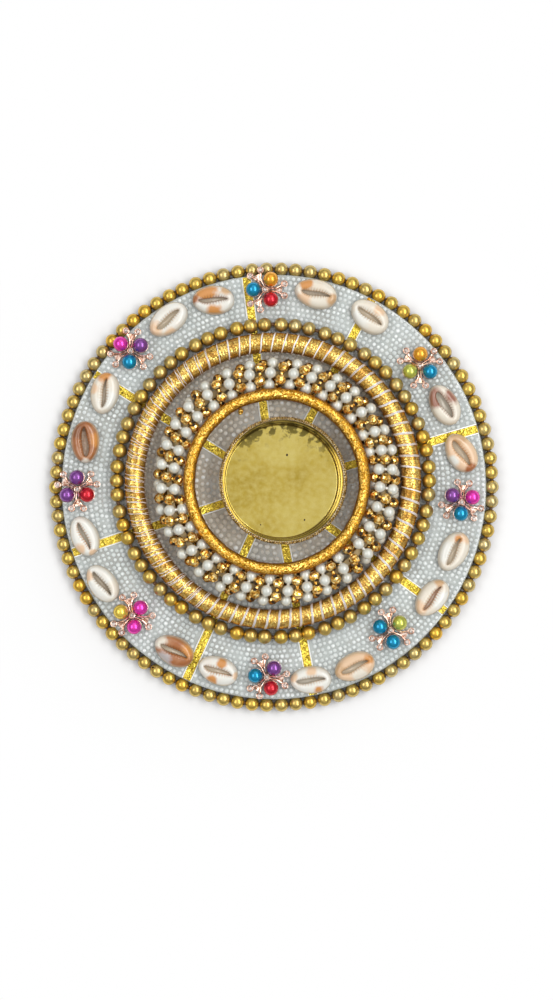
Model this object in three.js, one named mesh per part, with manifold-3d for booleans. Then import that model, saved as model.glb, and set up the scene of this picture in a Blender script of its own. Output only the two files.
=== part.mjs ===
// A round diya plate, made by hand: a board covered with seed pearls and glitter strips under
// clear resin, edged with a string of beads and set with cowries and flower charms. Three rings
// stand round a shallow gilt cup in its middle.
// Sizes are in millimetres and angles in degrees. +Z is up, +X is right and +Y is away from a
// person who looks down on the plate. The origin is the middle of the board's underside.

import * as THREE from 'three';
import { mergeVertices } from 'three/addons/utils/BufferGeometryUtils.js';
import Module from 'manifold-3d';

const wasm = await Module();
wasm.setup();

// The board and the layers on it
const boardRadius = 95.2;
const boardThickness = 3;
const seedPearlLayer = 2.2;
const resinThickness = 1;
const resinOverhang = 0.4;
const glueLine = 0.1;
const discFacets = 64;
const fieldFacets = 4;

// Eight glitter strips run from under the cup to the board's edge
const stripAngles = [97.5, 62.4, 16, -36, -79.3, -114.5, -161.9, -212.2];
const stripWidth = 3.8;
const stripStart = 8;
const stripSideGap = 0.3;

// Matte gold beads, strung round the board's edge and round the bangle
const beadRadius = 3;
const beadNeckRadius = 0.7;
const beadShoulder = 0.36;
const beadSides = 5;
const rimBeadClearance = 0.4;
const rimBeadGap = 0.58;
const rimBeadLift = 0.4;
const beadsInGroup = 3;
const beadGapInGroup = 0.3;
const beadGapBetweenGroups = 1.6;

// The thick bangle, bound with a flat silver thread. It stands a little off the board's middle
const bangleShift = 2.7;
const bangleTubeRadius = 4.35;
const bangleSides = 8;
const bangleFacets = 52;
const threadWidth = 1.3;
const threadThickness = 0.5;
const threadClearance = 0.2;
const threadPitch = 10.8;

// The beaded ring: a hidden core, wound by turns with white pearls and with gold beads. It has
// some play inside the bangle and is pushed over in one direction until it nearly touches
const beadedRingClearance = 1.4;
const beadedPushAngle = -17;
const coreTubeRadius = 1.8;
const coreSides = 4;
const coreFacets = 40;
const windingDistance = 4.8;
const windingNesting = 1.3;
const beadsPerTurn = 5;
const windingSides = 4;
const pearlRadius = 2.6;
const pearlNeckRadius = 0.9;
const goldBeadRadius = 2.25;
const goldNeckRadius = 0.7;

// The glitter ring leans on the inner shoulder of the beaded ring, at an angle from its top
const glitterLean = 65.8;
const glitterTubeRadius = 2.7;
const glitterRingClearance = 0.1;
const glitterSides = 8;
const glitterFacets = 48;

// The cup, with a twisted gold cord glued round it under its lip. It stands free of the glitter
// ring and a little off that ring's middle
const cupClearance = 8.35;
const cupShift = 2.46;
const cupFlare = 2.8;
const cupHeight = 12;
const cupWall = 0.8;
const cupLipHeight = 1.2;
const cupCordRadius = 0.8;
const cupCordDrop = 2.6;
const cupFacets = 48;
const cordSides = 4;

// Cut cowries, each with its slot upwards
const cowrieLength = 19;
const cowrieWidth = 12.8;
const cowrieHeight = 5;
const cowrieShoulderHeight = 3.4;
const cowrieShoulder = 0.86;
const cowrieSlotLength = 13;
const cowrieSlotWidth = 2;
const cowrieLipWidth = 1.4;
const cowrieFacets = 12;

// A charm and two cowries follow each other round the board, group by group, as a hand laid them.
// A place is given along the groups from the first charm, across the band from the board's edge
// (0) to the inner bead string (1), and by how the piece leans from the direction round the board.
// Where the board has room for more groups than the layout has, the layout starts again
const firstCharmAngle = 92.6;
const layoutGroups = 8;
const layoutGap = 2.2;
const cowries = [
  { along: 7.658, across: 0.359, lean: -18, long: 1, wide: 1.02 },
  { along: 7.34, across: 0.323, lean: 6, long: 1.03, wide: 0.98 },
  { along: 0.329, across: 0.334, lean: -3, long: 1.03, wide: 1.02 },
  { along: 0.709, across: 0.38, lean: -11, long: 1, wide: 1.05 },
  { along: 1.486, across: 0.492, lean: 2, long: 1.03, wide: 1 },
  { along: 1.829, across: 0.453, lean: 22, long: 1, wide: 1.02 },
  { along: 2.498, across: 0.417, lean: -10, long: 1, wide: 0.98 },
  { along: 2.838, across: 0.36, lean: -5, long: 1, wide: 0.97 },
  { along: 3.52, across: 0.277, lean: -2, long: 1, wide: 0.97 },
  { along: 3.818, across: 0.283, lean: -8, long: 0.98, wide: 0.97 },
  { along: 4.435, across: 0.365, lean: -5, long: 0.98, wide: 0.98 },
  { along: 4.755, across: 0.369, lean: 1, long: 1, wide: 1.02 },
  { along: 5.406, across: 0.29, lean: 6, long: 0.98, wide: 0.97 },
  { along: 5.735, across: 0.321, lean: 8, long: 0.98, wide: 0.97 },
  { along: 6.355, across: 0.377, lean: 13, long: 1, wide: 1 },
  { along: 6.702, across: 0.399, lean: 17, long: 1, wide: 1 },
];
const charms = [
  { along: 0, across: 0.339, lean: 57.6 },
  { along: 7.025, across: 0.314, lean: -20.6 },
  { along: 1.176, across: 0.494, lean: 19.5 },
  { along: 6.044, across: 0.312, lean: 0 },
  { along: 2.16, across: 0.479, lean: -0.8 },
  { along: 5.122, across: 0.389, lean: 29.9 },
  { along: 4.106, across: 0.397, lean: -6.3 },
  { along: 3.187, across: 0.506, lean: 61.7 },
];

// Flower charms: a cast plate with three pearls round a stone, and stones on the six tips
const charmPlate = 1.2;
const charmPearlRadius = 3.15;
const charmPearlSink = 0.8;
const charmPearlDistance = 5.2;
const charmStoneRadius = 1.4;
const charmStoneHeight = 2.4;
const charmTipDistance = 9.1;
const charmTipRadius = 1.5;
const charmTipSpread = 16.5;
const charmNotchDistance = 4.4;
const charmClearance = 0.9;

// Heights and radii that follow from the sizes above
const layerBottom = boardThickness + glueLine;
const resinBottom = layerBottom + seedPearlLayer + glueLine;
const resinTop = resinBottom + resinThickness;
const standHeight = resinTop + glueLine;
const rimStringRadius = boardRadius + rimBeadClearance + beadRadius;
const rimStringHeight = beadRadius + rimBeadLift;
const threadLift = (threadClearance + threadThickness / 2) / Math.cos(Math.PI / bangleSides);
const threadPathRadius = bangleTubeRadius + threadLift;
const windingReach = threadPathRadius + threadThickness / 2;
const bangleHeight = standHeight + windingReach;
const charmReach = charmTipDistance + charmTipRadius;
const bandWidth = 2 * charmReach + charmClearance;
const innerStringRadius = boardRadius - bandWidth - beadRadius;
const innerStringHeight = standHeight + beadRadius;
const bangleRadius = innerStringRadius - beadRadius - threadClearance - windingReach;
const beadedReach = windingDistance + pearlRadius;
const coreRadius = bangleRadius - windingReach - beadedRingClearance - beadedReach;
const coreHeight = standHeight + beadedReach;
const glitterApart = beadedReach + glitterTubeRadius + glitterRingClearance;
const glitterTurn = THREE.MathUtils.degToRad(glitterLean);
const glitterRingRadius = coreRadius - glitterApart * Math.sin(glitterTurn);
const glitterHeight = coreHeight + glitterApart * Math.cos(glitterTurn);
const cupLipRadius = glitterRingRadius - glitterTubeRadius - cupClearance;
const cupFloorRadius = cupLipRadius - cupFlare;
const bangleCentre = { x: 0, y: bangleShift };
const beadedPush = polar(beadedPushAngle, beadedRingClearance - glueLine);
const beadedCentre = { x: bangleCentre.x + beadedPush.x, y: bangleCentre.y + beadedPush.y };
const cupCentre = { x: beadedCentre.x + cupShift, y: beadedCentre.y };

const materials = {
  board: new THREE.MeshStandardMaterial({ color: 0xb08d57, roughness: 0.8, metalness: 0 }),
  seedPearls: new THREE.MeshStandardMaterial({ color: 0xdfe3e0, roughness: 0.35, metalness: 0 }),
  resin: new THREE.MeshStandardMaterial({ color: 0xc9cfcc, roughness: 0.08, metalness: 0 }),
  glitter: new THREE.MeshStandardMaterial({ color: 0xc99a1e, roughness: 0.45, metalness: 0.8 }),
  matteGold: new THREE.MeshStandardMaterial({ color: 0xa98f3c, roughness: 0.4, metalness: 0.8 }),
  foil: new THREE.MeshStandardMaterial({ color: 0xbd8a1d, roughness: 0.35, metalness: 0.9 }),
  silverThread: new THREE.MeshStandardMaterial({ color: 0xe9e4dc, roughness: 0.35, metalness: 0.5 }),
  core: new THREE.MeshStandardMaterial({ color: 0x8c6a3a, roughness: 0.7, metalness: 0 }),
  pearl: new THREE.MeshStandardMaterial({ color: 0xe6e4d8, roughness: 0.25, metalness: 0 }),
  copperGold: new THREE.MeshStandardMaterial({ color: 0xc98324, roughness: 0.2, metalness: 0.9 }),
  gilt: new THREE.MeshStandardMaterial({ color: 0xc9b558, roughness: 0.15, metalness: 1 }),
  cord: new THREE.MeshStandardMaterial({ color: 0xa8781c, roughness: 0.5, metalness: 0.7 }),
  shell: new THREE.MeshStandardMaterial({ color: 0xe8d9c4, roughness: 0.3, metalness: 0 }),
  roseGold: new THREE.MeshStandardMaterial({ color: 0xc98f78, roughness: 0.25, metalness: 0.9 }),
};

const plate = new THREE.Group();
const boardCentre = { x: 0, y: 0 };

function place(name, geometry, material, centre = boardCentre, z = 0, turn = 0) {
  const mesh = new THREE.Mesh(geometry, material);
  mesh.name = name;
  mesh.position.set(centre.x, centre.y, z);
  mesh.rotation.z = THREE.MathUtils.degToRad(turn);
  plate.add(mesh);
}

// A point at an angle and a distance from the board's middle
function polar(angle, distance) {
  const turn = THREE.MathUtils.degToRad(angle);
  return { x: distance * Math.cos(turn), y: distance * Math.sin(turn) };
}

function disc(radius, thickness) {
  const geometry = new THREE.CylinderGeometry(radius, radius, thickness, discFacets);
  return geometry.rotateX(Math.PI / 2).translate(0, 0, thickness / 2);
}

// A lathe turned about +Z from a profile of [radius, height] points
function turned(profile, facets) {
  const points = profile.map(([radius, height]) => new THREE.Vector2(radius, height));
  return new THREE.LatheGeometry(points, facets).rotateX(Math.PI / 2);
}

// A ring whose section is a polygon with a flat side down
function ring(radius, tubeRadius, sides, facets) {
  const profile = [];
  for (let side = 0; side <= sides; side += 1) {
    const turn = ((side + 0.5) * 2 * Math.PI) / sides - Math.PI / 2;
    profile.push([radius + tubeRadius * Math.cos(turn), tubeRadius * Math.sin(turn)]);
  }
  return turned(profile, facets);
}

// A closed skin over sections that follow each other round a loop, each with as many points
function loft(sections) {
  const sides = sections[0].length;
  const index = [];
  sections.forEach((section, at) => {
    const next = (at + 1) % sections.length;
    for (let side = 0; side < sides; side += 1) {
      const beside = (side + 1) % sides;
      const a = at * sides + side;
      const b = at * sides + beside;
      const c = next * sides + side;
      const d = next * sides + beside;
      index.push(a, c, b, b, c, d);
    }
  });
  const geometry = new THREE.BufferGeometry();
  const points = sections.flat().flatMap((point) => point.toArray());
  geometry.setAttribute('position', new THREE.Float32BufferAttribute(points, 3));
  geometry.setIndex(index);
  geometry.computeVertexNormals();
  return geometry;
}

// One unbroken tube round a closed path. A station has its centre, the direction that faces
// out of the ring that it lies on, and its section as [out, sideways] points
function tubeAlong(stations) {
  const sections = stations.map((station, at) => {
    const before = stations.at(at - 1).centre;
    const after = stations[(at + 1) % stations.length].centre;
    const along = after.clone().sub(before).normalize();
    const side = station.out.clone().cross(along).normalize();
    const out = along.clone().cross(side);
    return station.section.map(([outwards, sideways]) => (
      station.centre.clone().addScaledVector(out, outwards).addScaledVector(side, sideways)
    ));
  });
  return loft(sections);
}

function roundSection(radius, sides) {
  return Array.from({ length: sides }, (_, side) => {
    const turn = (side * 2 * Math.PI) / sides;
    return [radius * Math.cos(turn), radius * Math.sin(turn)];
  });
}

// A flat string of beads on a circle, from the angles of its beads in radians
function beadString(circleRadius, beadAngles) {
  const shoulder = (beadShoulder * beadRadius) / circleRadius;
  const stations = [];
  const addStation = (angle, radius) => {
    const out = new THREE.Vector3(Math.cos(angle), Math.sin(angle), 0);
    const centre = out.clone().multiplyScalar(circleRadius);
    stations.push({ centre, out, section: roundSection(radius, beadSides) });
  };
  beadAngles.forEach((angle, at) => {
    const next = at + 1 < beadAngles.length ? beadAngles[at + 1] : beadAngles[0] + 2 * Math.PI;
    addStation(angle - shoulder, beadRadius);
    addStation(angle + shoulder, beadRadius);
    addStation((angle + next) / 2, beadNeckRadius);
  });
  return tubeAlong(stations);
}

function evenAngles(count) {
  return Array.from({ length: count }, (_, at) => (at * 2 * Math.PI) / count);
}

function groupedAngles(groups, spacing) {
  return evenAngles(groups).flatMap((middle) => (
    Array.from({ length: beadsInGroup }, (_, at) => middle + (at - (beadsInGroup - 1) / 2) * spacing)
  ));
}

// A station of a winding: how far it is round the ring, and how far round the ring's own tube
function windingStation(ringRadius, distance, ringAngle, tubeAngle, section) {
  const across = new THREE.Vector3(Math.cos(ringAngle), Math.sin(ringAngle), 0);
  const out = across.clone().multiplyScalar(Math.cos(tubeAngle));
  out.z = Math.sin(tubeAngle);
  const centre = across.multiplyScalar(ringRadius).addScaledVector(out, distance);
  return { centre, out, section };
}

// A bead string wound round the core, one bead at each even step and a neck at each odd one. Its
// first neck is on top of the ring, so that two beads lie side by side there
function beadWinding(turns, startTurn, beadPhase, radius, neckRadius) {
  const stepsPerTurn = 2 * beadsPerTurn;
  const firstTurn = Math.PI / 2 + (2 * Math.PI) / stepsPerTurn;
  const stations = [];
  for (let step = 0; step < turns * stepsPerTurn; step += 1) {
    const wound = (step + beadPhase) / stepsPerTurn;
    const ringAngle = ((startTurn + wound) * 2 * Math.PI) / turns;
    const tubeAngle = wound * 2 * Math.PI + firstTurn;
    const section = roundSection(step % 2 === 0 ? radius : neckRadius, windingSides);
    stations.push(windingStation(coreRadius, windingDistance, ringAngle, tubeAngle, section));
  }
  return stations;
}

// The flat thread round the bangle, with a corner over each edge of the bangle's section
function threadWinding(turns) {
  const section = [
    [threadThickness / 2, 0],
    [-threadThickness / 2, threadWidth / 2],
    [-threadThickness / 2, -threadWidth / 2],
  ];
  const stations = [];
  for (let step = 0; step < turns * bangleSides; step += 1) {
    const ringAngle = (step * 2 * Math.PI) / (turns * bangleSides);
    const tubeAngle = ((step + 0.5) * 2 * Math.PI) / bangleSides - Math.PI / 2;
    stations.push(windingStation(bangleRadius, threadPathRadius, ringAngle, tubeAngle, section));
  }
  return stations;
}

// The least gap between two turns of a winding, from the points of its stations
function leastGap(stations, stepsPerTurn) {
  const reach = stations.map((station) => (
    Math.max(...station.section.map(([outwards, sideways]) => Math.hypot(outwards, sideways)))
  ));
  let least = Infinity;
  stations.forEach((station, at) => {
    for (let ahead = Math.ceil(stepsPerTurn * 0.7); ahead <= stepsPerTurn * 1.3; ahead += 1) {
      const other = (at + ahead) % stations.length;
      const apart = station.centre.distanceTo(stations[other].centre) - reach[at] - reach[other];
      least = Math.min(least, apart);
    }
  });
  return least;
}

function solid(geometry) {
  const bare = geometry.clone();
  bare.deleteAttribute('normal');
  bare.deleteAttribute('uv');
  const merged = mergeVertices(bare, 1e-4);
  return new wasm.Manifold(new wasm.Mesh({
    numProp: 3,
    vertProperties: merged.attributes.position.array,
    triVerts: new Uint32Array(merged.index.array),
  }));
}

function fromSolid(body) {
  const mesh = body.getMesh();
  const geometry = new THREE.BufferGeometry();
  geometry.setAttribute('position', new THREE.BufferAttribute(mesh.vertProperties, 3));
  geometry.setIndex(new THREE.BufferAttribute(mesh.triVerts, 1));
  geometry.computeVertexNormals();
  return geometry;
}

// Board, seed pearls, glitter strips and resin
place('base_board', disc(boardRadius, boardThickness), materials.board);

const stripShape = new THREE.Shape([
  new THREE.Vector2(stripStart, -stripWidth / 2),
  new THREE.Vector2(boardRadius, -stripWidth / 2),
  new THREE.Vector2(boardRadius, stripWidth / 2),
  new THREE.Vector2(stripStart, stripWidth / 2),
]);

function pearlField(fromAngle, toAngle) {
  const offset = stripWidth / 2 + stripSideGap;
  const start = THREE.MathUtils.degToRad(fromAngle);
  const end = THREE.MathUtils.degToRad(toAngle);
  const middle = (start + end) / 2;
  const apex = offset / Math.sin((end - start) / 2);
  const edge = Math.asin(offset / boardRadius);
  const shape = new THREE.Shape();
  shape.moveTo(apex * Math.cos(middle), apex * Math.sin(middle));
  shape.lineTo(boardRadius * Math.cos(start + edge), boardRadius * Math.sin(start + edge));
  shape.absarc(0, 0, boardRadius, start + edge, end - edge, false);
  shape.closePath();
  return new THREE.ExtrudeGeometry(shape, {
    depth: seedPearlLayer,
    bevelEnabled: false,
    curveSegments: fieldFacets,
  });
}

stripAngles.forEach((angle, at) => {
  const following = at + 1 < stripAngles.length ? stripAngles[at + 1] : stripAngles[0] - 360;
  const strip = new THREE.ExtrudeGeometry(stripShape, { depth: seedPearlLayer, bevelEnabled: false });
  place(`glitter_strip_${at + 1}`, strip, materials.glitter, boardCentre, layerBottom, angle);
  const field = pearlField(following, angle);
  place(`pearl_field_${at + 1}`, field, materials.seedPearls, boardCentre, layerBottom);
});

const resin = disc(boardRadius + resinOverhang, resinThickness);
place('resin_coat', resin, materials.resin, boardCentre, resinBottom);

// Bead strings
const rimBeads = Math.floor((2 * Math.PI * rimStringRadius) / (2 * beadRadius + rimBeadGap));
const rimString = beadString(rimStringRadius, evenAngles(rimBeads));
place('rim_bead_string', rimString, materials.matteGold, boardCentre, rimStringHeight);

const beadStep = 2 * beadRadius + beadGapInGroup;
const beadGroupLength = beadsInGroup * beadStep - beadGapInGroup + beadGapBetweenGroups;
const beadGroups = Math.floor((2 * Math.PI * innerStringRadius) / beadGroupLength);
const innerAngles = groupedAngles(beadGroups, beadStep / innerStringRadius);
const innerString = beadString(innerStringRadius, innerAngles);
place('inner_bead_string', innerString, materials.matteGold, bangleCentre, innerStringHeight);

// The bangle and its thread
const bangle = ring(bangleRadius, bangleTubeRadius, bangleSides, bangleFacets);
place('foil_bangle', bangle, materials.foil, bangleCentre, bangleHeight);

const threadTurns = Math.floor((2 * Math.PI * bangleRadius) / threadPitch);
const thread = threadWinding(threadTurns);
place('zari_winding', tubeAlong(thread), materials.silverThread, bangleCentre, bangleHeight);

// The beaded ring
const core = ring(coreRadius, coreTubeRadius, coreSides, coreFacets);
place('core_ring', core, materials.core, beadedCentre, coreHeight);

// Two turns lie closest on the ring's inner side
const windingPitch = 2 * (pearlRadius + goldBeadRadius) - windingNesting;
const windingTurns = Math.floor((2 * Math.PI * (coreRadius - windingDistance)) / windingPitch);
const pearls = beadWinding(windingTurns, 0, 0, pearlRadius, pearlNeckRadius);
place('pearl_winding', tubeAlong(pearls), materials.pearl, beadedCentre, coreHeight);
const goldBeads = beadWinding(windingTurns, 0.5, 1, goldBeadRadius, goldNeckRadius);
place('gold_winding', tubeAlong(goldBeads), materials.copperGold, beadedCentre, coreHeight);

function printGap(name, turns, gap) {
  console.log(`${name}: ${turns} turns, least gap ${gap.toFixed(2)} mm`);
}

printGap('zari_winding', threadTurns, leastGap(thread, bangleSides));
printGap('pearl_winding', windingTurns, leastGap(pearls, 2 * beadsPerTurn));
printGap('gold_winding', windingTurns, leastGap(goldBeads, 2 * beadsPerTurn));

// The glitter ring
const glitterRing = ring(glitterRingRadius, glitterTubeRadius, glitterSides, glitterFacets);
place('glitter_ring', glitterRing, materials.glitter, beadedCentre, glitterHeight);

// The cup and its cord
const cup = turned([
  [0, 0],
  [cupFloorRadius, 0],
  [cupLipRadius - cupWall, cupHeight - cupLipHeight],
  [cupLipRadius, cupHeight],
  [cupLipRadius - cupWall, cupHeight],
  [cupLipRadius - 2 * cupWall, cupHeight - cupLipHeight],
  [cupFloorRadius - cupWall, cupWall],
  [0, cupWall],
], cupFacets);
place('cup', cup, materials.gilt, cupCentre, standHeight);

const cordHeight = cupHeight - cupCordDrop;
const cupWallAtCord = cupFloorRadius
  + ((cupLipRadius - cupWall - cupFloorRadius) * (cordHeight + cupCordRadius)) / (cupHeight - cupLipHeight);
const cordRing = ring(cupWallAtCord + glueLine + cupCordRadius, cupCordRadius, cordSides, cupFacets);
place('cup_trim_cord', cordRing, materials.cord, cupCentre, standHeight + cordHeight);

// Cowries: an oval shell with an open slot along its middle
function cowrie(length, width) {
  const sections = evenAngles(cowrieFacets).map((turn) => {
    const across = (halfLength, halfWidth, height) => (
      new THREE.Vector3(halfLength * Math.cos(turn), halfWidth * Math.sin(turn), height)
    );
    const slotHalfLength = cowrieSlotLength / 2;
    const slotHalfWidth = cowrieSlotWidth / 2;
    return [
      across(length / 2, width / 2, 0),
      across((cowrieShoulder * length) / 2, (cowrieShoulder * width) / 2, cowrieShoulderHeight),
      across(slotHalfLength + cowrieLipWidth, slotHalfWidth + cowrieLipWidth, cowrieHeight),
      across(slotHalfLength, slotHalfWidth, 0),
    ];
  });
  return loft(sections);
}

const groupLength = 2 * charmReach + 2 * cowrieLength + 3 * layoutGap;
const groups = Math.floor((2 * Math.PI * (boardRadius - bandWidth / 2)) / groupLength);

// The pieces of a layout that the board has room for, each with its angle and its place
function laidOut(layout) {
  const rounds = Math.ceil(groups / layoutGroups);
  const pieces = Array.from({ length: rounds }, (_, round) => (
    layout.map((piece) => ({ ...piece, along: piece.along + round * layoutGroups }))
  ));
  return pieces.flat().filter((piece) => piece.along < groups).map((piece) => {
    const angle = firstCharmAngle - (piece.along * 360) / groups;
    const widthHere = bandWidth - bangleShift * Math.sin(THREE.MathUtils.degToRad(angle));
    return { ...piece, angle, centre: polar(angle, boardRadius - piece.across * widthHere) };
  });
}

laidOut(cowries).forEach((piece, at) => {
  const shell = cowrie(cowrieLength * piece.long, cowrieWidth * piece.wide);
  const turn = piece.angle - 90 + piece.lean;
  place(`cowrie_${at + 1}`, shell, materials.shell, piece.centre, standHeight, turn);
});

// Flower charms
function charm() {
  const outline = [];
  for (let petal = 0; petal < 3; petal += 1) {
    const pearlAngle = petal * 120;
    const gapAngle = pearlAngle + 60;
    const lobeHalf = THREE.MathUtils.radToDeg(charmTipRadius / charmTipDistance);
    outline.push(polar(pearlAngle, charmNotchDistance));
    [gapAngle - charmTipSpread, gapAngle + charmTipSpread].forEach((tip, side) => {
      if (side === 1) outline.push(polar(gapAngle, charmNotchDistance));
      outline.push(polar(tip - lobeHalf, charmTipDistance));
      outline.push(polar(tip, charmTipDistance + charmTipRadius));
      outline.push(polar(tip + lobeHalf, charmTipDistance));
    });
  }
  const shape = new THREE.Shape(outline.map((point) => new THREE.Vector2(point.x, point.y)));
  let body = solid(new THREE.ExtrudeGeometry(shape, { depth: charmPlate, bevelEnabled: false }));
  for (let petal = 0; petal < 3; petal += 1) {
    const at = polar(petal * 120, charmPearlDistance);
    const pearl = new THREE.SphereGeometry(charmPearlRadius, 6, 4).rotateX(Math.PI / 2);
    body = body.add(solid(pearl.translate(at.x, at.y, charmPlate - charmPearlSink + charmPearlRadius)));
  }
  const stone = new THREE.CylinderGeometry(charmStoneRadius, charmStoneRadius, charmStoneHeight, 5);
  stone.rotateX(Math.PI / 2).translate(0, 0, charmPlate / 2 + charmStoneHeight / 2);
  return fromSolid(body.add(solid(stone)));
}

laidOut(charms).forEach((piece, at) => {
  const turn = piece.angle - 90 + piece.lean;
  place(`flower_charm_${at + 1}`, charm(), materials.roseGold, piece.centre, standHeight, turn);
});

export default plate;
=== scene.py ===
import math
import random

import bmesh
import bpy
from mathutils import Matrix, Vector, kdtree, noise


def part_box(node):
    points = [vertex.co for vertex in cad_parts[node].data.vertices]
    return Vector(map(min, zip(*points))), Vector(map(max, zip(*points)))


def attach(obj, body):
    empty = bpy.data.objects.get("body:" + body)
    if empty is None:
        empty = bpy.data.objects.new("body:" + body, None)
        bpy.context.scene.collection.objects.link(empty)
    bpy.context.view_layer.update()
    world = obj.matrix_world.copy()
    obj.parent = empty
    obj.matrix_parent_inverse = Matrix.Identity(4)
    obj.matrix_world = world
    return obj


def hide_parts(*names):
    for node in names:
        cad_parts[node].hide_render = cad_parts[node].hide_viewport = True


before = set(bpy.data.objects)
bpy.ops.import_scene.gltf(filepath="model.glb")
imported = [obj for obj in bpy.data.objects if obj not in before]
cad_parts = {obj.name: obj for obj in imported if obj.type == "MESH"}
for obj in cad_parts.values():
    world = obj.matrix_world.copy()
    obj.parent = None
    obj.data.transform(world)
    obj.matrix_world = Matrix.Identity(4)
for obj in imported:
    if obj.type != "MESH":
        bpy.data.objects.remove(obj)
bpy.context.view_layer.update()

mm = 0.001
fullTurn = 2 * math.pi
print("frame loaded")


# General helpers

def middle(name):
    low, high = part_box(name)
    return (low + high) / 2


def halfWidth(name):
    low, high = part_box(name)
    return (high.x - low.x) / 2


def onCircle(centre, radius, angle, height=0.0):
    return Vector((centre.x + radius * math.cos(angle), centre.y + radius * math.sin(angle), height))


def meshOf(name, bm):
    mesh = bpy.data.meshes.new(name)
    bm.to_mesh(mesh)
    bm.free()
    return mesh


def addPiece(name, bm, materials, nodes=(), smooth=True):
    mesh = meshOf(name, bm)
    if smooth:
        mesh.shade_smooth()
    for material in materials:
        mesh.materials.append(material)
    piece = bpy.data.objects.new(name, mesh)
    bpy.context.scene.collection.objects.link(piece)
    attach(piece, "root")
    if nodes:
        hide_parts(*nodes)
    return piece


def addCopies(bm, template, places):
    for place in places:
        copy = template.copy()
        copy.transform(place)
        bm.from_mesh(copy)
        bpy.data.meshes.remove(copy)


def markCopies(piece, template, values):
    # one tint for all the points of each copy
    perCopy = len(template.vertices)
    attribute = piece.data.attributes.new("copyTint", "FLOAT", "POINT")
    attribute.data.foreach_set("value", [value for value in values for _ in range(perCopy)])


def ballMesh(name, radius, around, rows, hole=0.0):
    # the poles may be sunk by a share of the radius, as the two ends of a bead's hole
    bm = bmesh.new()
    bmesh.ops.create_uvsphere(bm, u_segments=around, v_segments=rows, radius=radius)
    if hole:
        poles = [vert for vert in bm.verts if abs(vert.co.z) > 0.999 * radius]
        for pole in poles:
            pole.co.z *= 1 - hole
            # these faces take the second material, painted shade for the hole
            for face in pole.link_faces:
                face.material_index = 1
    return meshOf(name, bm)


def repeat(bm, count, move):
    # copies what a new mesh holds, each copy moved by the matrix of its number
    first = bm.verts[:] + bm.edges[:] + bm.faces[:]
    for number in range(1, count):
        made = bmesh.ops.duplicate(bm, geom=first)["geom"]
        verts = [item for item in made if isinstance(item, bmesh.types.BMVert)]
        bmesh.ops.transform(bm, verts=verts, matrix=move(number))


def spinRing(bm, profile, steps, closed=True, parts=1):
    # turns a profile of (radius, height) about the Z axis, as one ring or as equal parts of one
    points = [bm.verts.new((radius, 0, height)) for radius, height in profile]
    edges = [bm.edges.new(pair) for pair in zip(points, points[1:])]
    if closed:
        edges.append(bm.edges.new((points[-1], points[0])))
    bmesh.ops.spin(bm, geom=points + edges, cent=(0, 0, 0), axis=(0, 0, 1), angle=fullTurn / parts,
                   steps=steps // parts, use_merge=parts == 1, use_duplicate=False)
    repeat(bm, parts, lambda number: Matrix.Rotation(fullTurn * number / parts, 4, "Z"))
    bmesh.ops.remove_doubles(bm, verts=bm.verts[:], dist=1e-6)
    bmesh.ops.recalc_face_normals(bm, faces=bm.faces[:])


def roundProfile(radius, tube, sides):
    angles = [fullTurn * side / sides for side in range(sides)]
    return [(radius + tube * math.cos(angle), tube * math.sin(angle)) for angle in angles]


def straightCoil(bm, section, turns, stepsPerTurn, pitch, startAngle=0.0):
    # a section of (along, outwards) points is wound about the X axis
    turned = Matrix.Rotation(startAngle, 3, "X")
    points = [bm.verts.new(turned @ Vector((along, outwards, 0))) for along, outwards in section]
    edges = [bm.edges.new((points[at - 1], points[at])) for at in range(len(points))]
    bmesh.ops.spin(bm, geom=points + edges, cent=(0, 0, 0), axis=(1, 0, 0),
                   dvec=(pitch / stepsPerTurn, 0, 0), angle=fullTurn, steps=stepsPerTurn,
                   use_merge=False, use_duplicate=False)
    repeat(bm, turns, lambda number: Matrix.Translation((pitch * number, 0, 0)))


def wrapRound(bm, radius, centre, height):
    # bends what lies along the X axis into a ring
    for vert in bm.verts:
        angle = vert.co.x / radius
        reach = radius + vert.co.y
        vert.co = (centre.x + reach * math.cos(angle), centre.y + reach * math.sin(angle),
                   height + vert.co.z)
    bmesh.ops.remove_doubles(bm, verts=bm.verts[:], dist=2e-6)
    bmesh.ops.recalc_face_normals(bm, faces=bm.faces[:])


def rod(bm, start, end, radiusStart, radiusEnd, sides=8, flat=1.0):
    # a round bar or cone from one point to the other, which may be flattened across
    span = end - start
    turned = span.to_track_quat("Z", "Y").to_matrix().to_4x4()
    place = Matrix.Translation((start + end) / 2) @ turned @ Matrix.Diagonal((1, flat, 1, 1))
    bmesh.ops.create_cone(bm, cap_ends=True, segments=sides, radius1=radiusStart, radius2=radiusEnd,
                          depth=span.length, matrix=place)


def smoothStep(low, high, value):
    # rises softly from 0 at the low value to 1 at the high one
    share = min(1, max(0, (value - low) / (high - low)))
    return share * share * (3 - 2 * share)


# Material helpers

def surface(name, color, roughness=0.5, metallic=0.0, **sockets):
    material = bpy.data.materials.new(name)
    material.use_nodes = True
    shader = shaderOf(material)
    shader.inputs["Base Color"].default_value = (*color, 1)
    shader.inputs["Roughness"].default_value = roughness
    shader.inputs["Metallic"].default_value = metallic
    for socket, value in sockets.items():
        shader.inputs[socket.replace("_", " ")].default_value = value
    return material


def node(material, kind, inputs=None, **settings):
    made = material.node_tree.nodes.new(kind)
    for key, value in settings.items():
        setattr(made, key, value)
    for socket, value in (inputs or {}).items():
        if isinstance(value, bpy.types.NodeSocket):
            material.node_tree.links.new(value, made.inputs[socket])
        else:
            made.inputs[socket].default_value = value
    return made


def shaderOf(material):
    return material.node_tree.nodes["Principled BSDF"]


def joinTo(material, output, socket):
    material.node_tree.links.new(output, shaderOf(material).inputs[socket])


def objectPoint(material):
    return node(material, "ShaderNodeTexCoord").outputs["Object"]


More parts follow.
